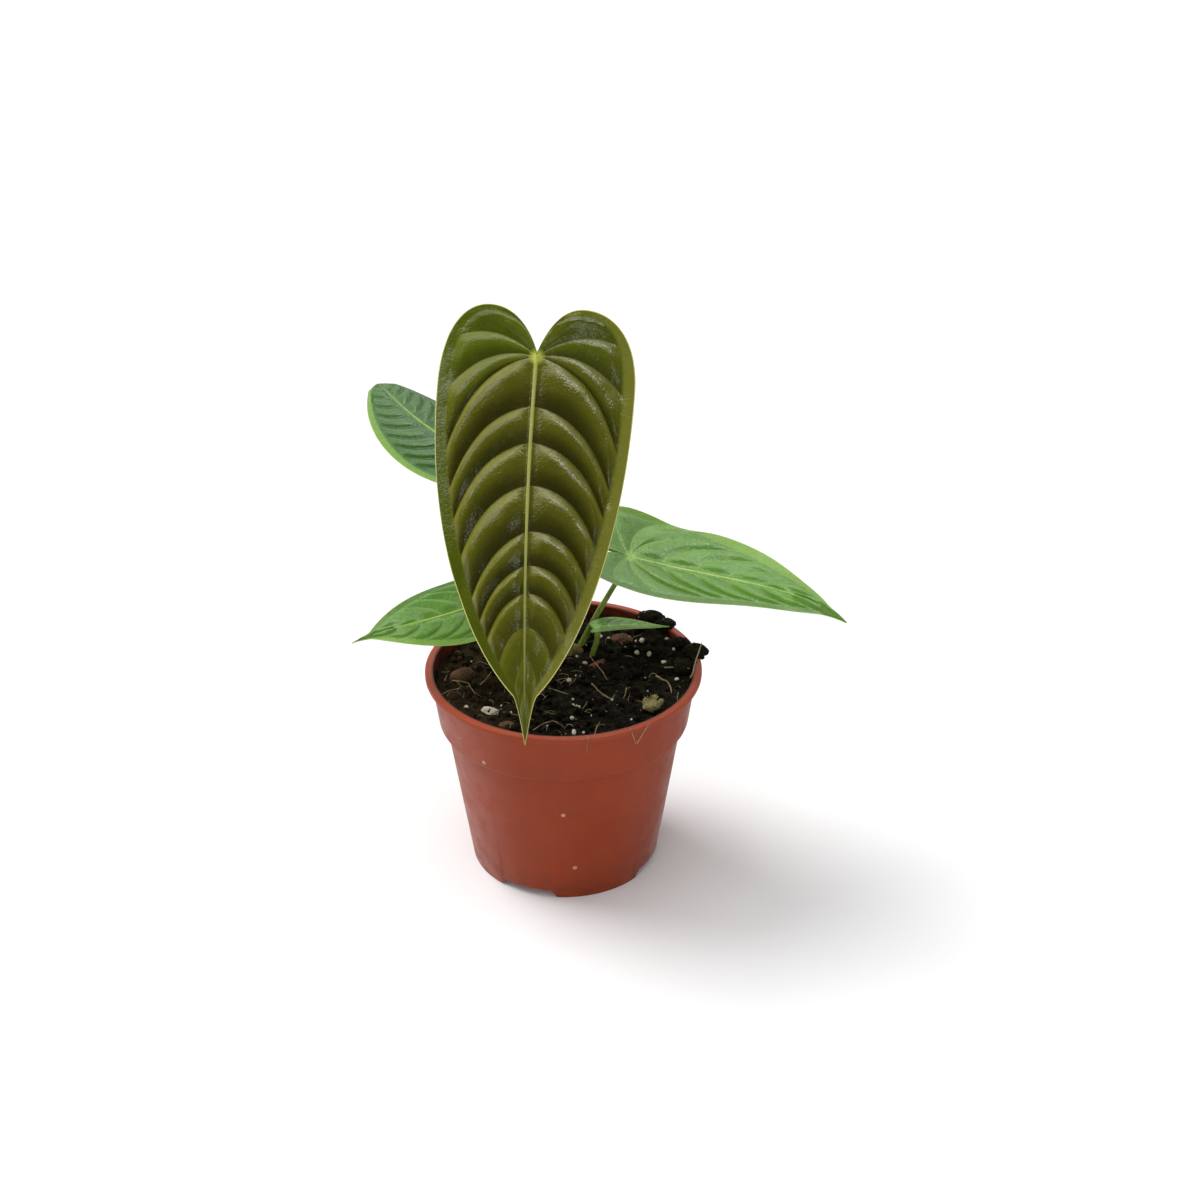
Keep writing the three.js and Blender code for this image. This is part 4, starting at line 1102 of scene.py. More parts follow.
def thread_shapes():
    """Root threads and straws over the mix, a few of them hanging over the rim."""
    random = np.random.default_rng(5)
    parts = []
    for i, (points, radius) in enumerate(THREADS):
        ground = [(x, y, ground_at(x, y) + 0.5 + up) for x, y, up in points]
        parts.append(thread(ground, radius, 100 + i, wander=1.2))
    for i, (points, radius) in enumerate(RIM_THREADS):
        parts.append(thread(points, radius, 150 + i, wander=0.5))
    for i in range(STRAY_THREADS):
        x, y = scattered(random)
        if i % 3 and x > 5:
            x = -x
        turn, span = 2 * np.pi * random.random(), 2.5 + 6 * random.random()
        along = np.array([math.cos(turn), math.sin(turn)]) * span / 2
        ends = [np.array([x, y]) - along, np.array([x, y]), np.array([x, y]) + along]
        ends = [end * min(1, MIX_REACH / max(np.hypot(*end), 1e-6)) for end in ends]
        lifts = (0.3, 0.9 + 1.2 * random.random(), 0.2)
        ground = [(*end, ground_at(*end) + 0.5 + up) for end, up in zip(ends, lifts)]
        parts.append(thread(ground, 0.09 + 0.1 * random.random(), 200 + i, wander=1.6, sides=5))
    return joined(parts)


def middle_and_half(box):
    """The middle and the half size of a box, in millimetres."""
    low, high = (np.array(corner[:]) / MM for corner in box)
    return (low + high) / 2, (high - low) / 2


def husk_shape():
    """A dry curled husk of an old leaf sheath with a torn edge."""
    centre, _ = middle_and_half(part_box("sheath_husk"))
    length, radius, arc = 12.0, 4.4, math.radians(128)
    rows, columns = 34, 26
    along = np.linspace(-0.5, 0.5, rows)
    across = np.linspace(-0.5, 0.5, columns)
    u, v = np.meshgrid(along, across, indexing="ij")
    place = np.stack([u * 10, v * 8, 0 * u], -1)
    ragged = 1 - 0.16 * noise(place, 1.5, 61) * (np.abs(v) > 0.4)
    angle = arc * v * ragged + math.pi / 2
    reach = radius * (1 - 0.18 * (u + 0.5)) * (0.96 + 0.08 * noise(place, 2.4, 62))
    torn = length * u * (1 - 0.06 * noise(place, 1.2, 63))
    out = np.stack([reach * np.cos(angle), torn, reach * np.sin(angle)], -1).reshape(-1, 3)
    points = np.concatenate([out, out * np.array([0.9, 1, 0.9])]) - (0, 0, radius * 0.55)
    points = turned(points, math.radians(-38))
    x, y = centre[:2]
    points = points + (x, y, ground_at(x, y))
    count = rows * columns
    faces = grid_faces(rows, columns) + grid_faces(rows, columns, first=count, flip=True)
    for a, b in rim_edges(grid_faces(rows, columns)):
        faces.append((b, a, count + a, count + b))
    return points, faces


def coir_hairs():
    """Short curly fibres that stand out of the coir clump."""
    random = np.random.default_rng(9)
    centre, half = middle_and_half(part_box("coir_clump"))
    parts = []
    for i in range(COIR_HAIRS):
        way = unit(np.array([random.normal(), random.normal(), abs(random.normal()) + 0.1]))
        start = centre + way * half * 0.62
        end = start + way * (1.2 + 1.5 * random.random())
        end = end + 0.8 * random.normal(size=3) * (1, 1, 0.4)
        middle = (start + end) / 2 + 0.5 * random.normal(size=3)
        radius = 0.08 + 0.05 * random.random()
        parts.append(thread([start, middle, end], radius, 400 + i, wander=0.6, sides=5))
    return joined(parts)


# Finishes: shader node groups


class Net:
    """A node tree being wired: short names for adding nodes and linking them."""

    def __init__(self, tree):
        self.tree = tree

    def add(self, kind, **values):
        node = self.tree.nodes.new(kind)
        for key, value in values.items():
            setattr(node, key, value)
        return node

    def link(self, source, target):
        self.tree.links.new(source, target)

    def feed(self, socket, value):
        if isinstance(value, bpy.types.NodeSocket):
            self.link(value, socket)
        else:
            if socket.type == "RGBA" and len(value) == 3:
                value = (*value, 1)
            socket.default_value = value

    def math(self, operation, a, b=0.0):
        node = self.add("ShaderNodeMath", operation=operation)
        self.feed(node.inputs[0], a)
        self.feed(node.inputs[1], b)
        return node.outputs[0]

    def times(self, first, *others):
        """The product of two or more values."""
        for other in others:
            first = self.math("MULTIPLY", first, other)
        return first

    def plus(self, a, b):
        return self.math("ADD", a, b)

    def ramp(self, value, low, high, start=0.0, end=1.0):
        """A smooth change from start to end while value goes from low to high."""
        node = self.add("ShaderNodeMapRange", interpolation_type="SMOOTHSTEP")
        self.feed(node.inputs["Value"], value)
        titles = ("From Min", "From Max", "To Min", "To Max")
        for title, given in zip(titles, (low, high, start, end)):
            self.feed(node.inputs[title], given)
        return node.outputs["Result"]

    def mix(self, factor, a, b, blend="MIX"):
        node = self.add("ShaderNodeMix", data_type="RGBA", blend_type=blend)
        self.feed(node.inputs["Factor"], factor)
        self.feed(node.inputs[6], a)
        self.feed(node.inputs[7], b)
        return node.outputs[2]

    def mark(self, name):
        return self.add("ShaderNodeAttribute", attribute_name=name).outputs["Fac"]

    def place(self):
        return self.add("ShaderNodeTexCoord").outputs["Object"]

    def split(self, vector):
        """The X, Y and Z of a vector."""
        node = self.add("ShaderNodeSeparateXYZ")
        self.link(vector, node.inputs[0])
        return node.outputs["X"], node.outputs["Y"], node.outputs["Z"]

    def noise(self, scale, detail=3.0, roughness=0.55):
        node = self.add("ShaderNodeTexNoise")
        self.feed(node.inputs["Vector"], self.place())
        self.feed(node.inputs["Scale"], scale)
        self.feed(node.inputs["Detail"], detail)
        self.feed(node.inputs["Roughness"], roughness)
        return node.outputs["Fac"]

    def cells(self, scale, feature="F1", output="Distance"):
        node = self.add("ShaderNodeTexVoronoi", feature=feature)
        self.feed(node.inputs["Vector"], self.place())
        self.feed(node.inputs["Scale"], scale)
        return node.outputs[output]

    def group(self, name, build, **values):
        """The outputs of a shader node group, built when it is first asked for."""
        node = self.add("ShaderNodeGroup")
        node.node_tree = bpy.data.node_groups.get(name) or build(name)
        for title, value in values.items():
            self.feed(node.inputs[title.replace("_", " ")], value)
        return node.outputs

    def mottle(self, **values):
        """The patches, blotches and grain of the mottled group."""
        made = self.group("Mottle", mottle_group, **values)
        return made["Patches"], made["Blotches"], made["Grain"]


def node_group(name, inputs, outputs):
    """A new shader node group with named sockets, and the net to wire it with."""
    tree = bpy.data.node_groups.new(name, "ShaderNodeTree")
    for kind, title, default in inputs:
        socket = tree.interface.new_socket(title, in_out="INPUT", socket_type=f"NodeSocket{kind}")
        socket.default_value = (*default, 1) if kind == "Color" else default
    for kind, title in outputs:
        tree.interface.new_socket(title, in_out="OUTPUT", socket_type=f"NodeSocket{kind}")
    net = Net(tree)
    return net, net.add("NodeGroupInput").outputs, net.add("NodeGroupOutput").inputs


def mottle_group(name):
    """Soft patches, finer blotches and a fine grain, for any natural or moulded surface."""
    net, given, result = node_group(
        name,
        [("Float", "Patch Scale", 60.0), ("Float", "Grain Scale", 900.0)],
        [("Float", "Patches"), ("Float", "Blotches"), ("Float", "Grain")],
    )
    net.link(net.ramp(net.noise(given["Patch Scale"], 2.0), 0.3, 0.7), result["Patches"])
    finer = net.times(given["Patch Scale"], 4.3)
    net.link(net.ramp(net.noise(finer, 4.0, 0.6), 0.3, 0.72), result["Blotches"])
    net.link(net.noise(given["Grain Scale"], 3.0, 0.6), result["Grain"])
    return net.tree


def specks_group(name):
    """Scattered specks: one in some cells, of uneven size."""
    net, given, result = node_group(
        name,
        [("Float", "Cell Scale", 300.0), ("Float", "Speck Size", 0.25), ("Float", "Share", 0.1)],
        [("Float", "Specks")],
    )
    distance = net.cells(given["Cell Scale"])
    parts = net.add("ShaderNodeSeparateColor")
    net.link(net.cells(given["Cell Scale"], output="Color"), parts.inputs[0])
    chosen = net.math("LESS_THAN", parts.outputs[0], given["Share"])
    size = net.times(given["Speck Size"], parts.outputs[1])
    spot = net.ramp(net.math("SUBTRACT", size, distance), 0.0, 0.08)
    net.link(net.times(chosen, spot), result["Specks"])
    return net.tree


LEAF_MARKS = (
    "along", "across", "under", "phase", "half", "vein_gap", "rib_gap", "rim_gap", "heart_gap")


def leaf_group(name):
    """The pattern of an anthurium blade, read from the marks on its mesh, with painted shade in
    its folds and painted light on its crests.
    """
    net, given, result = node_group(
        name,
        [
            ("Color", "Blade", (0.1, 0.12, 0.02)), ("Color", "Lobes", (0.1, 0.16, 0.02)),
            ("Color", "Folds", (0.05, 0.06, 0.01)), ("Color", "Crests", (0.2, 0.2, 0.05)),
            ("Color", "Veins", (0.3, 0.32, 0.1)),
            ("Color", "Midrib", (0.35, 0.4, 0.1)), ("Color", "Heart", (0.4, 0.5, 0.05)),
            ("Color", "Margin", (0.6, 0.6, 0.3)), ("Color", "Band", (0.2, 0.22, 0.04)),
            ("Color", "Underside", (0.2, 0.3, 0.1)), ("Float", "Midrib Width", 1.0),
            ("Float", "Vein Strength", 0.2), ("Float", "Basal Strength", 0.7),
            ("Float", "Rim Width", 0.6),
        ],
        [("Color", "Colour"), ("Float", "Gloss Loss"), ("Float", "Height")],
    )
    along, across, under, phase, half, vein_gap, rib_gap, rim_gap, heart_gap = (
        net.mark(name) for name in LEAF_MARKS)
    patches, blotches, grain = net.mottle(Patch_Scale=55, Grain_Scale=1400)
    right = net.ramp(half, 0.4, 0.6)
    inside = net.ramp(across, COLLECTOR - 0.03, COLLECTOR + 0.015, 1.0, 0.0)
    lobe = net.times(net.ramp(along, 0.2, 0.37, 1.0, 0.0), net.ramp(half, 0.4, 0.6, 1.0, 0.45))
    colour = net.mix(lobe, given["Blade"], given["Lobes"])
    colour = net.mix(net.times(net.ramp(along, 0.7, 0.95), 0.5), colour, given["Lobes"])
    between = net.math("FRACT", phase)
    lower = net.times(net.ramp(along, 0.72, 0.88, 1.0, 0.15), inside)
    # Painted shade: the fold colour darkens the lower, down-facing part of each swelling towards
    # the next vein.
    fold = net.times(net.ramp(between, 0.28, 0.92), lower, net.ramp(along, 0.16, 0.36, 0.35, 0.8))
    colour = net.mix(fold, colour, given["Folds"])
    # Painted light: the crest colour lightens the steep shoulder just past each vein, more on the
    # left half.
    crest_light = net.times(
        net.ramp(between, 0.0, 0.05), net.ramp(between, 0.12, 0.34, 1.0, 0.0),
        net.times(lower, net.ramp(across, 0.03, 0.14)), net.ramp(half, 0.4, 0.6, 0.6, 0.35),
        net.ramp(along, 0.2, 0.36, 0.4, 1.0), net.ramp(patches, 0.0, 1.0, 0.6, 1.0))
    colour = net.mix(crest_light, colour, given["Crests"])
    darker = net.mix(1.0, colour, (0.7, 0.72, 0.66), "MULTIPLY")
    shade = net.mix(net.times(patches, 0.45), colour, darker)
    lighter = net.mix(1.0, shade, (1.26, 1.2, 1.1), "MULTIPLY")
    shade = net.mix(net.times(blotches, 0.35), shade, lighter)
    band = net.ramp(across, COLLECTOR - 0.02, COLLECTOR + 0.04)
    band = net.times(band, net.ramp(along, 0.0, 0.25, 0.35, 0.85))
    # Painted shade: the left half's outer band takes a dimmed copy of the lobe colour.
    shaded_band = net.mix(1.0, given["Lobes"], (0.66, 0.66, 0.6), "MULTIPLY")
    shade = net.mix(band, shade, net.mix(right, shaded_band, given["Band"]))
    vein = net.times(net.ramp(vein_gap, 0.1, 0.55, 1.0, 0.0), inside)
    off_collector = net.math("ABSOLUTE", net.math("SUBTRACT", across, COLLECTOR))
    collector = net.ramp(off_collector, 0.002, 0.014, 0.7, 0.0)
    lines = net.math("MAXIMUM", vein, net.times(collector, net.ramp(along, 0.3, 0.4)))
    shade = net.mix(net.times(lines, given["Vein Strength"]), shade, given["Veins"])
    basal = net.ramp(net.math("ABSOLUTE", net.plus(phase, 0.004)), 0.01, 0.03, 1.0, 0.0)
    basal = net.times(basal, net.ramp(across, 0.35, 0.75, 1.0, 0.0), given["Basal Strength"])
    shade = net.mix(basal, shade, given["Midrib"])
    rib_width = net.times(given["Midrib Width"], net.ramp(along, 0.3, 1.0, 1.0, 0.4))
    near_rib = net.math("DIVIDE", rib_gap, rib_width)
    rib = net.times(net.ramp(near_rib, 0.5, 1.2, 1.0, 0.0), net.ramp(along, 0.6, 0.98, 1.0, 0.35))
    shade = net.mix(rib, shade, given["Midrib"])
    shade = net.mix(net.ramp(heart_gap, 1.0, 4.2, 0.9, 0.0), shade, given["Heart"])
    near_rim = net.math("DIVIDE", rim_gap, given["Rim Width"])
    shade = net.mix(net.ramp(near_rim, 0.5, 1.1, 0.9, 0.0), shade, given["Margin"])
    standing = net.times(net.math("MAXIMUM", rib, vein), 0.7)
    below = net.mix(standing, given["Underside"], given["Midrib"])
    below = net.mix(net.times(patches, 0.25), below, given["Blade"])
    net.link(net.mix(net.ramp(under, 0.4, 0.9), shade, below), result["Colour"])
    loss = net.plus(net.times(blotches, 0.08), net.times(under, 0.18))
    net.link(net.plus(loss, net.times(grain, 0.05)), result["Gloss Loss"])
    web = net.times(net.ramp(net.cells(520.0, "DISTANCE_TO_EDGE"), 0.0, 0.2), 0.5)
    fine = net.times(net.noise(1900.0), 0.35)
    net.link(net.plus(net.plus(web, fine), net.times(blotches, 0.6)), result["Height"])
    return net.tree


def toned(colour, shares):
    """A colour with each of its parts scaled."""
    return tuple(part * share for part, share in zip(colour, shares))


def new_finish(name, **constants):
    """A material with one plain shader, its constants set on the shader's own sockets."""
    material = bpy.data.materials.new(name)
    material.use_nodes = True
    material.node_tree.nodes.clear()
    net = Net(material.node_tree)
    shader = net.add("ShaderNodeBsdfPrincipled")
    output = net.add("ShaderNodeOutputMaterial")
    net.link(shader.outputs[0], output.inputs["Surface"])
    for title, value in constants.items():
        shader.inputs[title.replace("_", " ")].default_value = value
    return material, net, shader


def bumped(net, shader, height, distance):
    """Feeds a height, as deep as the distance in millimetres, into the shader's normal."""
    bump = net.add("ShaderNodeBump")
    bump.inputs["Strength"].default_value = 1.0
    bump.inputs["Distance"].default_value = distance * MM
    net.feed(bump.inputs["Height"], height)
    net.link(bump.outputs[0], shader.inputs["Normal"])


# Each leaf finish: its main colour in the panel, how rough it is, its colours and its lines. Of
# its colours, the fold colour is painted shade and the crest colour painted light.

LEAF_SKINS = {
    "young_leaf_skin": ("young_blade", 0.15, dict(
        Lobes=(84, 96, 12), Folds=(34, 32, 4), Crests=(134, 132, 54), Veins=(120, 120, 40),
        Midrib=(158, 160, 84), Heart=(178, 186, 74), Margin=(206, 200, 124), Band=(118, 118, 40),
        Underside=(132, 140, 70),
    ), dict(Midrib_Width=1.05, Vein_Strength=0.1, Basal_Strength=0.75, Rim_Width=0.55)),
    "green_leaf_skin": ("green_blade", 0.22, dict(
        Lobes=(104, 146, 70), Folds=(88, 132, 52), Crests=(108, 150, 66), Veins=(150, 186, 92),
        Midrib=(168, 196, 92), Heart=(150, 190, 96), Margin=(160, 190, 90), Band=(112, 150, 50),
        Underside=(140, 170, 96),
    ), dict(Midrib_Width=0.5, Vein_Strength=0.35, Basal_Strength=0.5, Rim_Width=0.3)),
    "dark_green_leaf_skin": ("dark_blade", 0.2, dict(
        Lobes=(66, 104, 46), Folds=(42, 74, 30), Crests=(84, 120, 66), Veins=(104, 142, 70),
        Midrib=(130, 170, 70), Heart=(140, 170, 80), Margin=(140, 170, 80), Band=(110, 150, 40),
        Underside=(120, 150, 84),
    ), dict(Midrib_Width=0.8, Vein_Strength=0.2, Basal_Strength=0.3, Rim_Width=0.3)),
}


def leaf_finish(name):
    """Satin leaf skin with veins, midrib, margin and a paler underside."""
    made, net, shader = new_finish(
        name, Specular_IOR_Level=0.4, Subsurface_Weight=0.06, Subsurface_Scale=0.002)
    shader.inputs["Subsurface Radius"].default_value = (0.6, 1.0, 0.2)
    face, roughness, tints, lines = LEAF_SKINS[name]
    tints = {title: paint(*tint) for title, tint in tints.items()}
    blade_colour = tuple(getattr(colours(), face))
    pattern = net.group("Leaf Pattern", leaf_group, Blade=blade_colour, **tints, **lines)
    net.link(pattern["Colour"], shader.inputs["Base Color"])
    net.link(net.plus(pattern["Gloss Loss"], roughness), shader.inputs["Roughness"])
    bumped(net, shader, pattern["Height"], 0.09)
    return made


def stalk_finish(name):
    """Smooth green skin of the leaf stalks, paler at the foot and brighter at the joint."""
    made, net, shader = new_finish(
        name, Specular_IOR_Level=0.45, Subsurface_Weight=0.05, Subsurface_Scale=0.002)
    patches, blotches, grain = net.mottle(Patch_Scale=90)
    base = tuple(colours().stalk)
    colour = net.mix(patches, base, toned(base, (0.62, 0.72, 0.6)))
    along = net.mark("along")
    colour = net.mix(net.ramp(along, 0.0, 0.16, 1.0, 0.0), colour, paint(150, 140, 84))
    colour = net.mix(net.times(net.ramp(along, 0.9, 0.97), 0.6), colour, paint(170, 184, 84))
    net.link(colour, shader.inputs["Base Color"])
    net.link(net.ramp(grain, 0.2, 0.8, 0.38, 0.55), shader.inputs["Roughness"])
    bumped(net, shader, blotches, 0.06)
    return made


def pot_finish(name):
    """Terracotta coloured plastic: satin, scuffed, darker in patches at the foot, painted shade on
    the inner wall and soil smudges under the rim.
    """
    made, net, shader = new_finish(name, Specular_IOR_Level=0.35)
    patches, blotches, grain = net.mottle(Patch_Scale=28, Grain_Scale=1900)
    scuffs = net.group("Specks", specks_group, Cell_Scale=210, Speck_Size=0.3, Share=0.05)
    base = tuple(colours().terracotta)
    colour = net.mix(net.times(patches, 0.6), base, toned(base, (0.86, 0.78, 0.74)))
    colour = net.mix(net.times(scuffs["Specks"], 0.55), colour, paint(214, 176, 150))
    x, y, z = net.split(net.place())
    # Darker brown in patches over the lowest 20 mm of the pot.
    foot_darkening = net.ramp(z, 0.0, 0.02, 0.5, 0.0)
    colour = net.mix(net.times(foot_darkening, blotches), colour, paint(92, 52, 38))
    radius = net.math("SQRT", net.plus(net.math("POWER", x, 2.0), net.math("POWER", y, 2.0)))
    (foot, foot_z), (top, top_z) = POT_COLLAR_FOOT, POT_COLLAR_TOP
    outside = net.times(net.math("SUBTRACT", z, foot_z * MM), (top - foot) / (top_z - foot_z))
    outside = net.plus(outside, foot * MM)
    # Painted shade: the inner wall above the ledge is darkened to a deep red; soil smudges follow
    # just under the rim.
    inner = net.ramp(net.math("SUBTRACT", outside, radius), 0.0004, 0.0008)
    inner = net.times(inner, net.ramp(z, 0.07, 0.072))
    colour = net.mix(net.times(inner, 0.8), colour, paint(84, 36, 22))
    soiled = net.times(inner, net.ramp(z, 0.0925, 0.087), net.ramp(blotches, 0.2, 0.6))
    colour = net.mix(soiled, colour, paint(30, 22, 15))
    net.link(colour, shader.inputs["Base Color"])
    net.link(net.ramp(blotches, 0.0, 1.0, 0.4, 0.52), shader.inputs["Roughness"])
    bumped(net, shader, net.plus(grain, blotches), 0.02)
    return made


def soil_finish(name):
    """Moist peat: near black in patches, browner to the left, with fibres and green algae."""
    made, net, shader = new_finish(name, Specular_IOR_Level=0.06)
    patches, blotches, grain = net.mottle(Patch_Scale=70, Grain_Scale=1500)
    flecks = net.group("Specks", specks_group, Cell_Scale=700, Speck_Size=0.5, Share=0.05)
    base = tuple(colours().soil)
    colour = net.mix(patches, base, toned(base, (0.3, 0.3, 0.3)))
    x, _, _ = net.split(net.place())
    left = net.ramp(x, -0.05, -0.005, 0.75, 0.0)
    colour = net.mix(net.times(left, blotches), colour, paint(70, 54, 36))
    green = net.times(net.ramp(net.noise(110.0, 2.0), 0.52, 0.7), 0.35)
    colour = net.mix(green, colour, paint(34, 38, 20))
    brown = net.times(net.ramp(net.noise(480.0), 0.56, 0.72), 0.5)
    colour = net.mix(brown, colour, paint(66, 50, 32))
    colour = net.mix(net.times(flecks["Specks"], 0.5), colour, paint(150, 140, 112))
    net.link(colour, shader.inputs["Base Color"])
    net.link(net.ramp(blotches, 0.0, 1.0, 0.62, 0.95), shader.inputs["Roughness"])
    bumped(net, shader, net.plus(grain, net.noise(700.0, 4.0, 0.7)), 0.35)
    return made


# Dry natural stuffs: their light and dark tone, the scales of their patches and of their grain,
# how rough they are at least and at most, and how deep the grain is in millimetres

NATURAL_STUFFS = {
    "perlite_glass": (None, (176, 168, 140), 260, 2400, (0.8, 0.95), 0.2),
    "bark_chip": ((104, 74, 50), (44, 32, 24), 160, 1300, (0.75, 0.95), 0.3),
    "coir_fibre": ((168, 154, 104), (92, 96, 58), 240, 1800, (0.85, 1.0), 0.25),
    "husk_skin": ((132, 70, 48), (64, 38, 28), 200, 1500, (0.55, 0.8), 0.15),
    "root_thread": ((176, 158, 122), (98, 80, 58), 150, 1500, (0.6, 0.85), 0.05),
    "stem_skin": ((126, 104, 62), (62, 48, 30), 180, 1400, (0.7, 0.9), 0.2),
}


def natural_finish(name):
    """Two tones of a dry stuff with a grainy surface. Perlite's light one is in the panel."""
    light, dark, patch, grain_scale, rough, depth = NATURAL_STUFFS[name]
    light = paint(*light) if light else tuple(colours().perlite)
    made, net, shader = new_finish(name, Specular_IOR_Level=0.3)
    patches, blotches, grain = net.mottle(Patch_Scale=patch, Grain_Scale=grain_scale)
    mask = net.times(net.plus(patches, blotches), 0.5)
    net.link(net.mix(mask, light, paint(*dark)), shader.inputs["Base Color"])
    net.link(net.ramp(grain, 0.2, 0.8, *rough), shader.inputs["Roughness"])
    bumped(net, shader, grain, depth)
    return made


def finish(name, build):
    """The finish of this name, made when it is first asked for and then shared."""
    return bpy.data.materials.get(name) or build(name)


# Operators, one for each piece or group of like pieces


class ANTHURIUM_OT_pot(bpy.types.Operator):
    """Turn the plastic nursery pot, with its collar, notched foot and drain holes"""

    bl_idname = "anthurium.pot"
    bl_label = "Pot"

    def execute(self, context):
        points, faces = drilled(*pot_shape())
        plastic = finish("pot_plastic", pot_finish)
        piece("nursery_pot", points, faces, plastic, "terracotta_plastic", ("pot",), crease=40)
        return {"FINISHED"}


class ANTHURIUM_OT_soil(bpy.types.Operator):
    """Fill the pot with peaty mix, its crumbs, and the clods at the rim"""

    bl_idname = "anthurium.soil"
    bl_label = "Potting mix"

    def execute(self, context):
        peat = finish("moist_peat", soil_finish)
        piece("potting_mix", *soil_shape(), peat, "potting_mix", ("soil",))
        piece("mix_crumbs", *crumb_shapes(), peat, "potting_mix")
        piece("rim_clods", *clod_shapes(), peat, "potting_mix")
        return {"FINISHED"}


class ANTHURIUM_OT_loose_pieces(bpy.types.Operator):
    """Lay perlite, bark, coir, the dry husk and root threads on the mix"""

    bl_idname = "anthurium.loose_pieces"
    bl_label = "Loose pieces"

    def execute(self, context):
        names = ("perlite_glass", "bark_chip", "coir_fibre", "husk_skin", "root_thread")
        perlite, bark, coir, husk, threads = (finish(name, natural_finish) for name in names)
        for i in range(1, PERLITE_LUMPS + 1):
            node = f"perlite_{i}"
            shape = crumbled(node, 0.22, 0.45, 1.1, 500 + i)
            piece(f"perlite_lump_{i}", *shape, perlite, "perlite", (node,))
        for i in range(1, BARK_CHIPS + 1):
            node = f"bark_{i}"
            shape = crumbled(node, 0.3, 0.8, 1.8, 520 + i, stretch=(0.5, 1.4, 1.6))
            piece(f"bark_chip_{i}", *shape, bark, "bark", (node,))
        shape = crumbled("coir_clump", 0.28, 0.9, 1.2, 540)
        piece("coir_tuft", *shape, coir, "coir", ("coir_clump",))
        piece("coir_hairs", *coir_hairs(), coir, "coir")
        piece("dry_husk", *husk_shape(), husk, "dry_sheath", ("sheath_husk",))
        piece("perlite_grains", *grain_shapes(), perlite, "perlite")
        piece("root_threads", *thread_shapes(), threads, "coir")
        return {"FINISHED"}


class ANTHURIUM_OT_crown(bpy.types.Operator):
    """Grow the short stem that the leaf stalks clasp"""

    bl_idname = "anthurium.crown"
    bl_label = "Crown"

    def execute(self, context):
        stem = finish("stem_skin", natural_finish)
        piece("short_stem", *crown_shape(), stem, "stem", ("crown",))
        return {"FINISHED"}


class ANTHURIUM_OT_stalks(bpy.types.Operator):
    """Grow the five leaf stalks"""

    bl_idname = "anthurium.stalks"
    bl_label = "Leaf stalks"

    def execute(self, context):
        for name, leaf in LEAVES.items():
            stalk(name, leaf)
        return {"FINISHED"}


class ANTHURIUM_OT_blades(bpy.types.Operator):
    """Unfold the five quilted leaf blades"""

    bl_idname = "anthurium.blades"
    bl_label = "Leaf blades"

    def execute(self, context):
        for name, leaf in LEAVES.items():
            blade(name, leaf)
        return {"FINISHED"}


# Lamps, each with the way it comes from, its width in degrees and its strength. They give the
# matt light alone. What glossy surfaces mirror comes from the panels below.

LAMPS = {
    "key_light": ((-0.62, 0.35, 0.75), 40, 2.4),
    "top_light": ((-0.1, 0.0, 1), 50, 0.8),
    "front_light": ((0.0, -1, 0.6), 60, 0.45),
}

# Glowing panels that glossy surfaces mirror, each with its brightness and its limits. A limit is
# a way and the two values between which the panel fades in, or fades out where the way has a
# minus before it.

PANELS = (
    (1.5, (("depth", 0.15, 0.4), ("height", 0.15, 0.4))),
    (3.6, (("-off_strip", 0.12, 0.26), ("height", 0.35, 0.6), ("-side", 0.3, 0.7))),
    (11.0, (("-off_strip", 0.04, 0.13), ("height", 0.35, 0.6), ("side", -0.05, 0.15),
            ("-side", 0.5, 0.8))),
    (2.6, (("side", 0.25, 0.4), ("-side", 0.55, 0.8), ("height", -0.15, 0.05),
           ("-height", 0.3, 0.45), ("-depth", -0.2, 0.0))),
    (9.0, (("-off_back", 0.03, 0.08), ("height", 0.35, 0.6), ("side", -0.3, -0.15),
           ("-side", 0.3, 0.5))),
    (1.0, (("-height", -0.15, 0.0), ("behind", -0.05, 0.5))),
    (0.6, (("-height", -0.15, 0.0), ("side", 0.5, 0.8))),
)

FLOOR_REACH = 9
CAMERA_AIM = Vector((0.0158, 0, 0.1258))
CAMERA_DISTANCE = 0.9
CAMERA_ELEVATION = math.radians(28.8)
CAMERA_LENS = 63.36
CAMERA_SENSOR = 36.0


def soft_sun(name, toward, spread, strength):
    """A soft even light that comes from one way, as wide in degrees as its spread."""
    data = bpy.data.lights.new(name, "SUN")
    data.angle = math.radians(spread)
    data.energy = strength
    lamp = bpy.data.objects.new(name, data)
    lamp.rotation_mode = "QUATERNION"
    lamp.rotation_quaternion = (-Vector(toward)).to_track_quat("-Z", "Y")
    lamp.location = Vector(toward).normalized() * 2
    lamp.visible_glossy = False
    bpy.context.scene.collection.objects.link(lamp)


def lay_floor():
    """A wide pale floor that no surface mirrors."""
    mesh = bpy.data.meshes.new("floor")
    ways = ((-1, -1), (1, -1), (1, 1), (-1, 1))
    corners = [(FLOOR_REACH * x, FLOOR_REACH * y, 0) for x, y in ways]
    mesh.from_pydata(corners, [], [(0, 1, 2, 3)])
    material, net, shader = new_finish("pale_floor", Roughness=0.9, Specular_IOR_Level=0.1)
    tone = net.times(net.noise(3.0, 2.0), 0.02)
    net.link(net.mix(tone, (0.9, 0.9, 0.9), (0.86, 0.86, 0.86)), shader.inputs["Base Color"])
    mesh.materials.append(material)
    floor = bpy.data.objects.new("floor", mesh)
    bpy.context.scene.collection.objects.link(floor)
    floor.visible_glossy = False


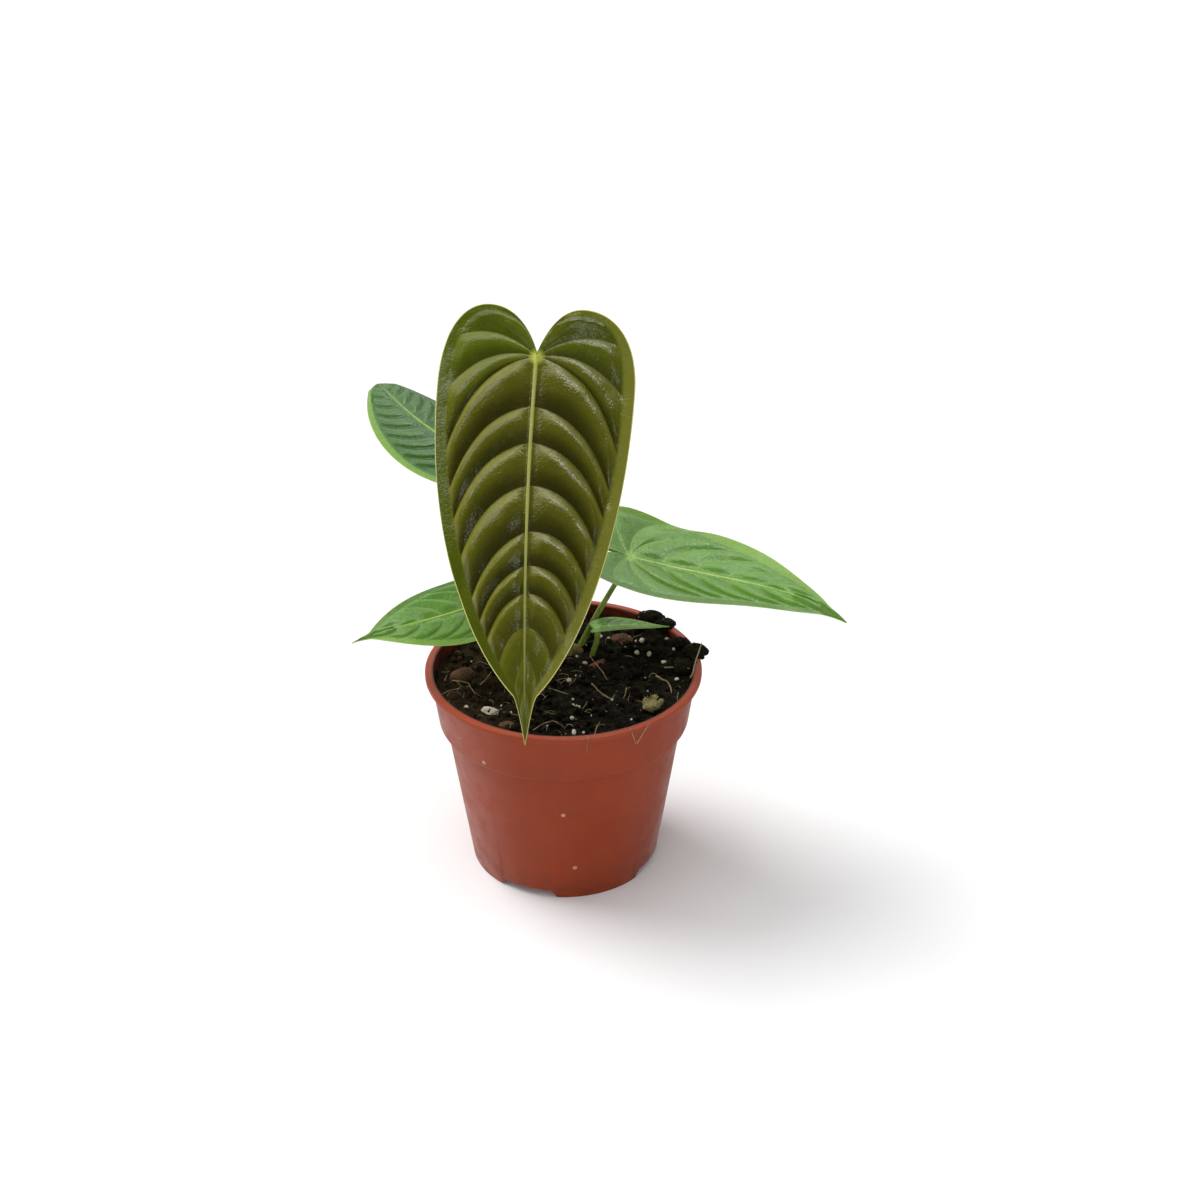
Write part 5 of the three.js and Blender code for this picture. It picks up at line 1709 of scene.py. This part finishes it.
def light_studio():
    """A plain pale world for matt light, and the panels for what glossy surfaces mirror."""
    world = bpy.data.worlds.new("studio")
    world.use_nodes = True
    net = Net(world.node_tree)
    side, depth, height = net.split(net.add("ShaderNodeTexCoord").outputs["Generated"])
    ways = {
        "side": side, "depth": depth, "height": height,
        "off_strip": net.math("ABSOLUTE", net.plus(depth, 0.1)),
        "off_back": net.math("ABSOLUTE", net.math("SUBTRACT", depth, 0.3)),
        "behind": net.math("SUBTRACT", net.times(depth, 0.7), net.times(side, 0.5)),
    }
    glow = net.mix(net.ramp(height, 0.5, 1.0), (0.02, 0.02, 0.02), (0.15, 0.15, 0.15))
    for brightness, limits in PANELS:
        masks = []
        for way, start, end in limits:
            fade = (1.0, 0.0) if way.startswith("-") else (0.0, 1.0)
            masks.append(net.ramp(ways[way.lstrip("-")], start, end, *fade))
        glow = net.mix(net.times(*masks), glow, (brightness, brightness, brightness))
    glossy = net.add("ShaderNodeLightPath").outputs["Is Glossy Ray"]
    sky = world.node_tree.nodes["Background"]
    net.link(net.mix(glossy, (0.43, 0.432, 0.437), glow), sky.inputs["Color"])
    world.cycles.sampling_method = "NONE"
    bpy.context.scene.world = world


def set_camera():
    """The camera at the photo's angle."""
    data = bpy.data.cameras.new("camera")
    data.lens = CAMERA_LENS
    data.sensor_width = CAMERA_SENSOR
    data.clip_start = 0.05
    data.clip_end = 40
    camera = bpy.data.objects.new("camera", data)
    back = Vector((0, -math.cos(CAMERA_ELEVATION), math.sin(CAMERA_ELEVATION)))
    camera.location = CAMERA_AIM + back * CAMERA_DISTANCE
    camera.rotation_mode = "QUATERNION"
    camera.rotation_quaternion = (-back).to_track_quat("-Z", "Y")
    bpy.context.scene.collection.objects.link(camera)
    bpy.context.scene.camera = camera


class ANTHURIUM_OT_stage(bpy.types.Operator):
    """Set the pale floor, the soft lights and the camera"""

    bl_idname = "anthurium.stage"
    bl_label = "Stage"

    def execute(self, context):
        lay_floor()
        for name, (toward, spread, strength) in LAMPS.items():
            soft_sun(name, toward, spread, strength)
        light_studio()
        context.scene.view_settings.view_transform = "Standard"
        set_camera()
        return {"FINISHED"}


class ANTHURIUM_PT_panel(bpy.types.Panel):
    """Lists the plant's pieces, sizes and colours"""

    bl_idname = "ANTHURIUM_PT_panel"
    bl_label = "Potted King Anthurium"
    bl_space_type = "VIEW_3D"
    bl_region_type = "UI"
    bl_category = "Anthurium"

    def draw(self, context):
        layout = self.layout
        for operator in OPERATORS:
            layout.operator(operator.bl_idname)
        for group in (context.scene.anthurium_sizes, context.scene.anthurium_colours):
            column = layout.column(align=True)
            for title in group.__annotations__:
                column.prop(group, title)


OPERATORS = (
    ANTHURIUM_OT_pot,
    ANTHURIUM_OT_soil,
    ANTHURIUM_OT_loose_pieces,
    ANTHURIUM_OT_crown,
    ANTHURIUM_OT_stalks,
    ANTHURIUM_OT_blades,
    ANTHURIUM_OT_stage,
)
CLASSES = (PlantSizes, PlantColours, *OPERATORS, ANTHURIUM_PT_panel)


def register():
    for each in CLASSES:
        bpy.utils.register_class(each)
    bpy.types.Scene.anthurium_sizes = bpy.props.PointerProperty(type=PlantSizes)
    bpy.types.Scene.anthurium_colours = bpy.props.PointerProperty(type=PlantColours)


def unregister():
    del bpy.types.Scene.anthurium_colours
    del bpy.types.Scene.anthurium_sizes
    for each in reversed(CLASSES):
        bpy.utils.unregister_class(each)


def main():
    """Builds every piece and the stage."""
    register()
    bpy.ops.anthurium.pot()
    bpy.ops.anthurium.soil()
    bpy.ops.anthurium.loose_pieces()
    bpy.ops.anthurium.crown()
    bpy.ops.anthurium.stalks()
    bpy.ops.anthurium.blades()
    bpy.ops.anthurium.stage()
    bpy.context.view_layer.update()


if __name__ == "__main__":
    main()
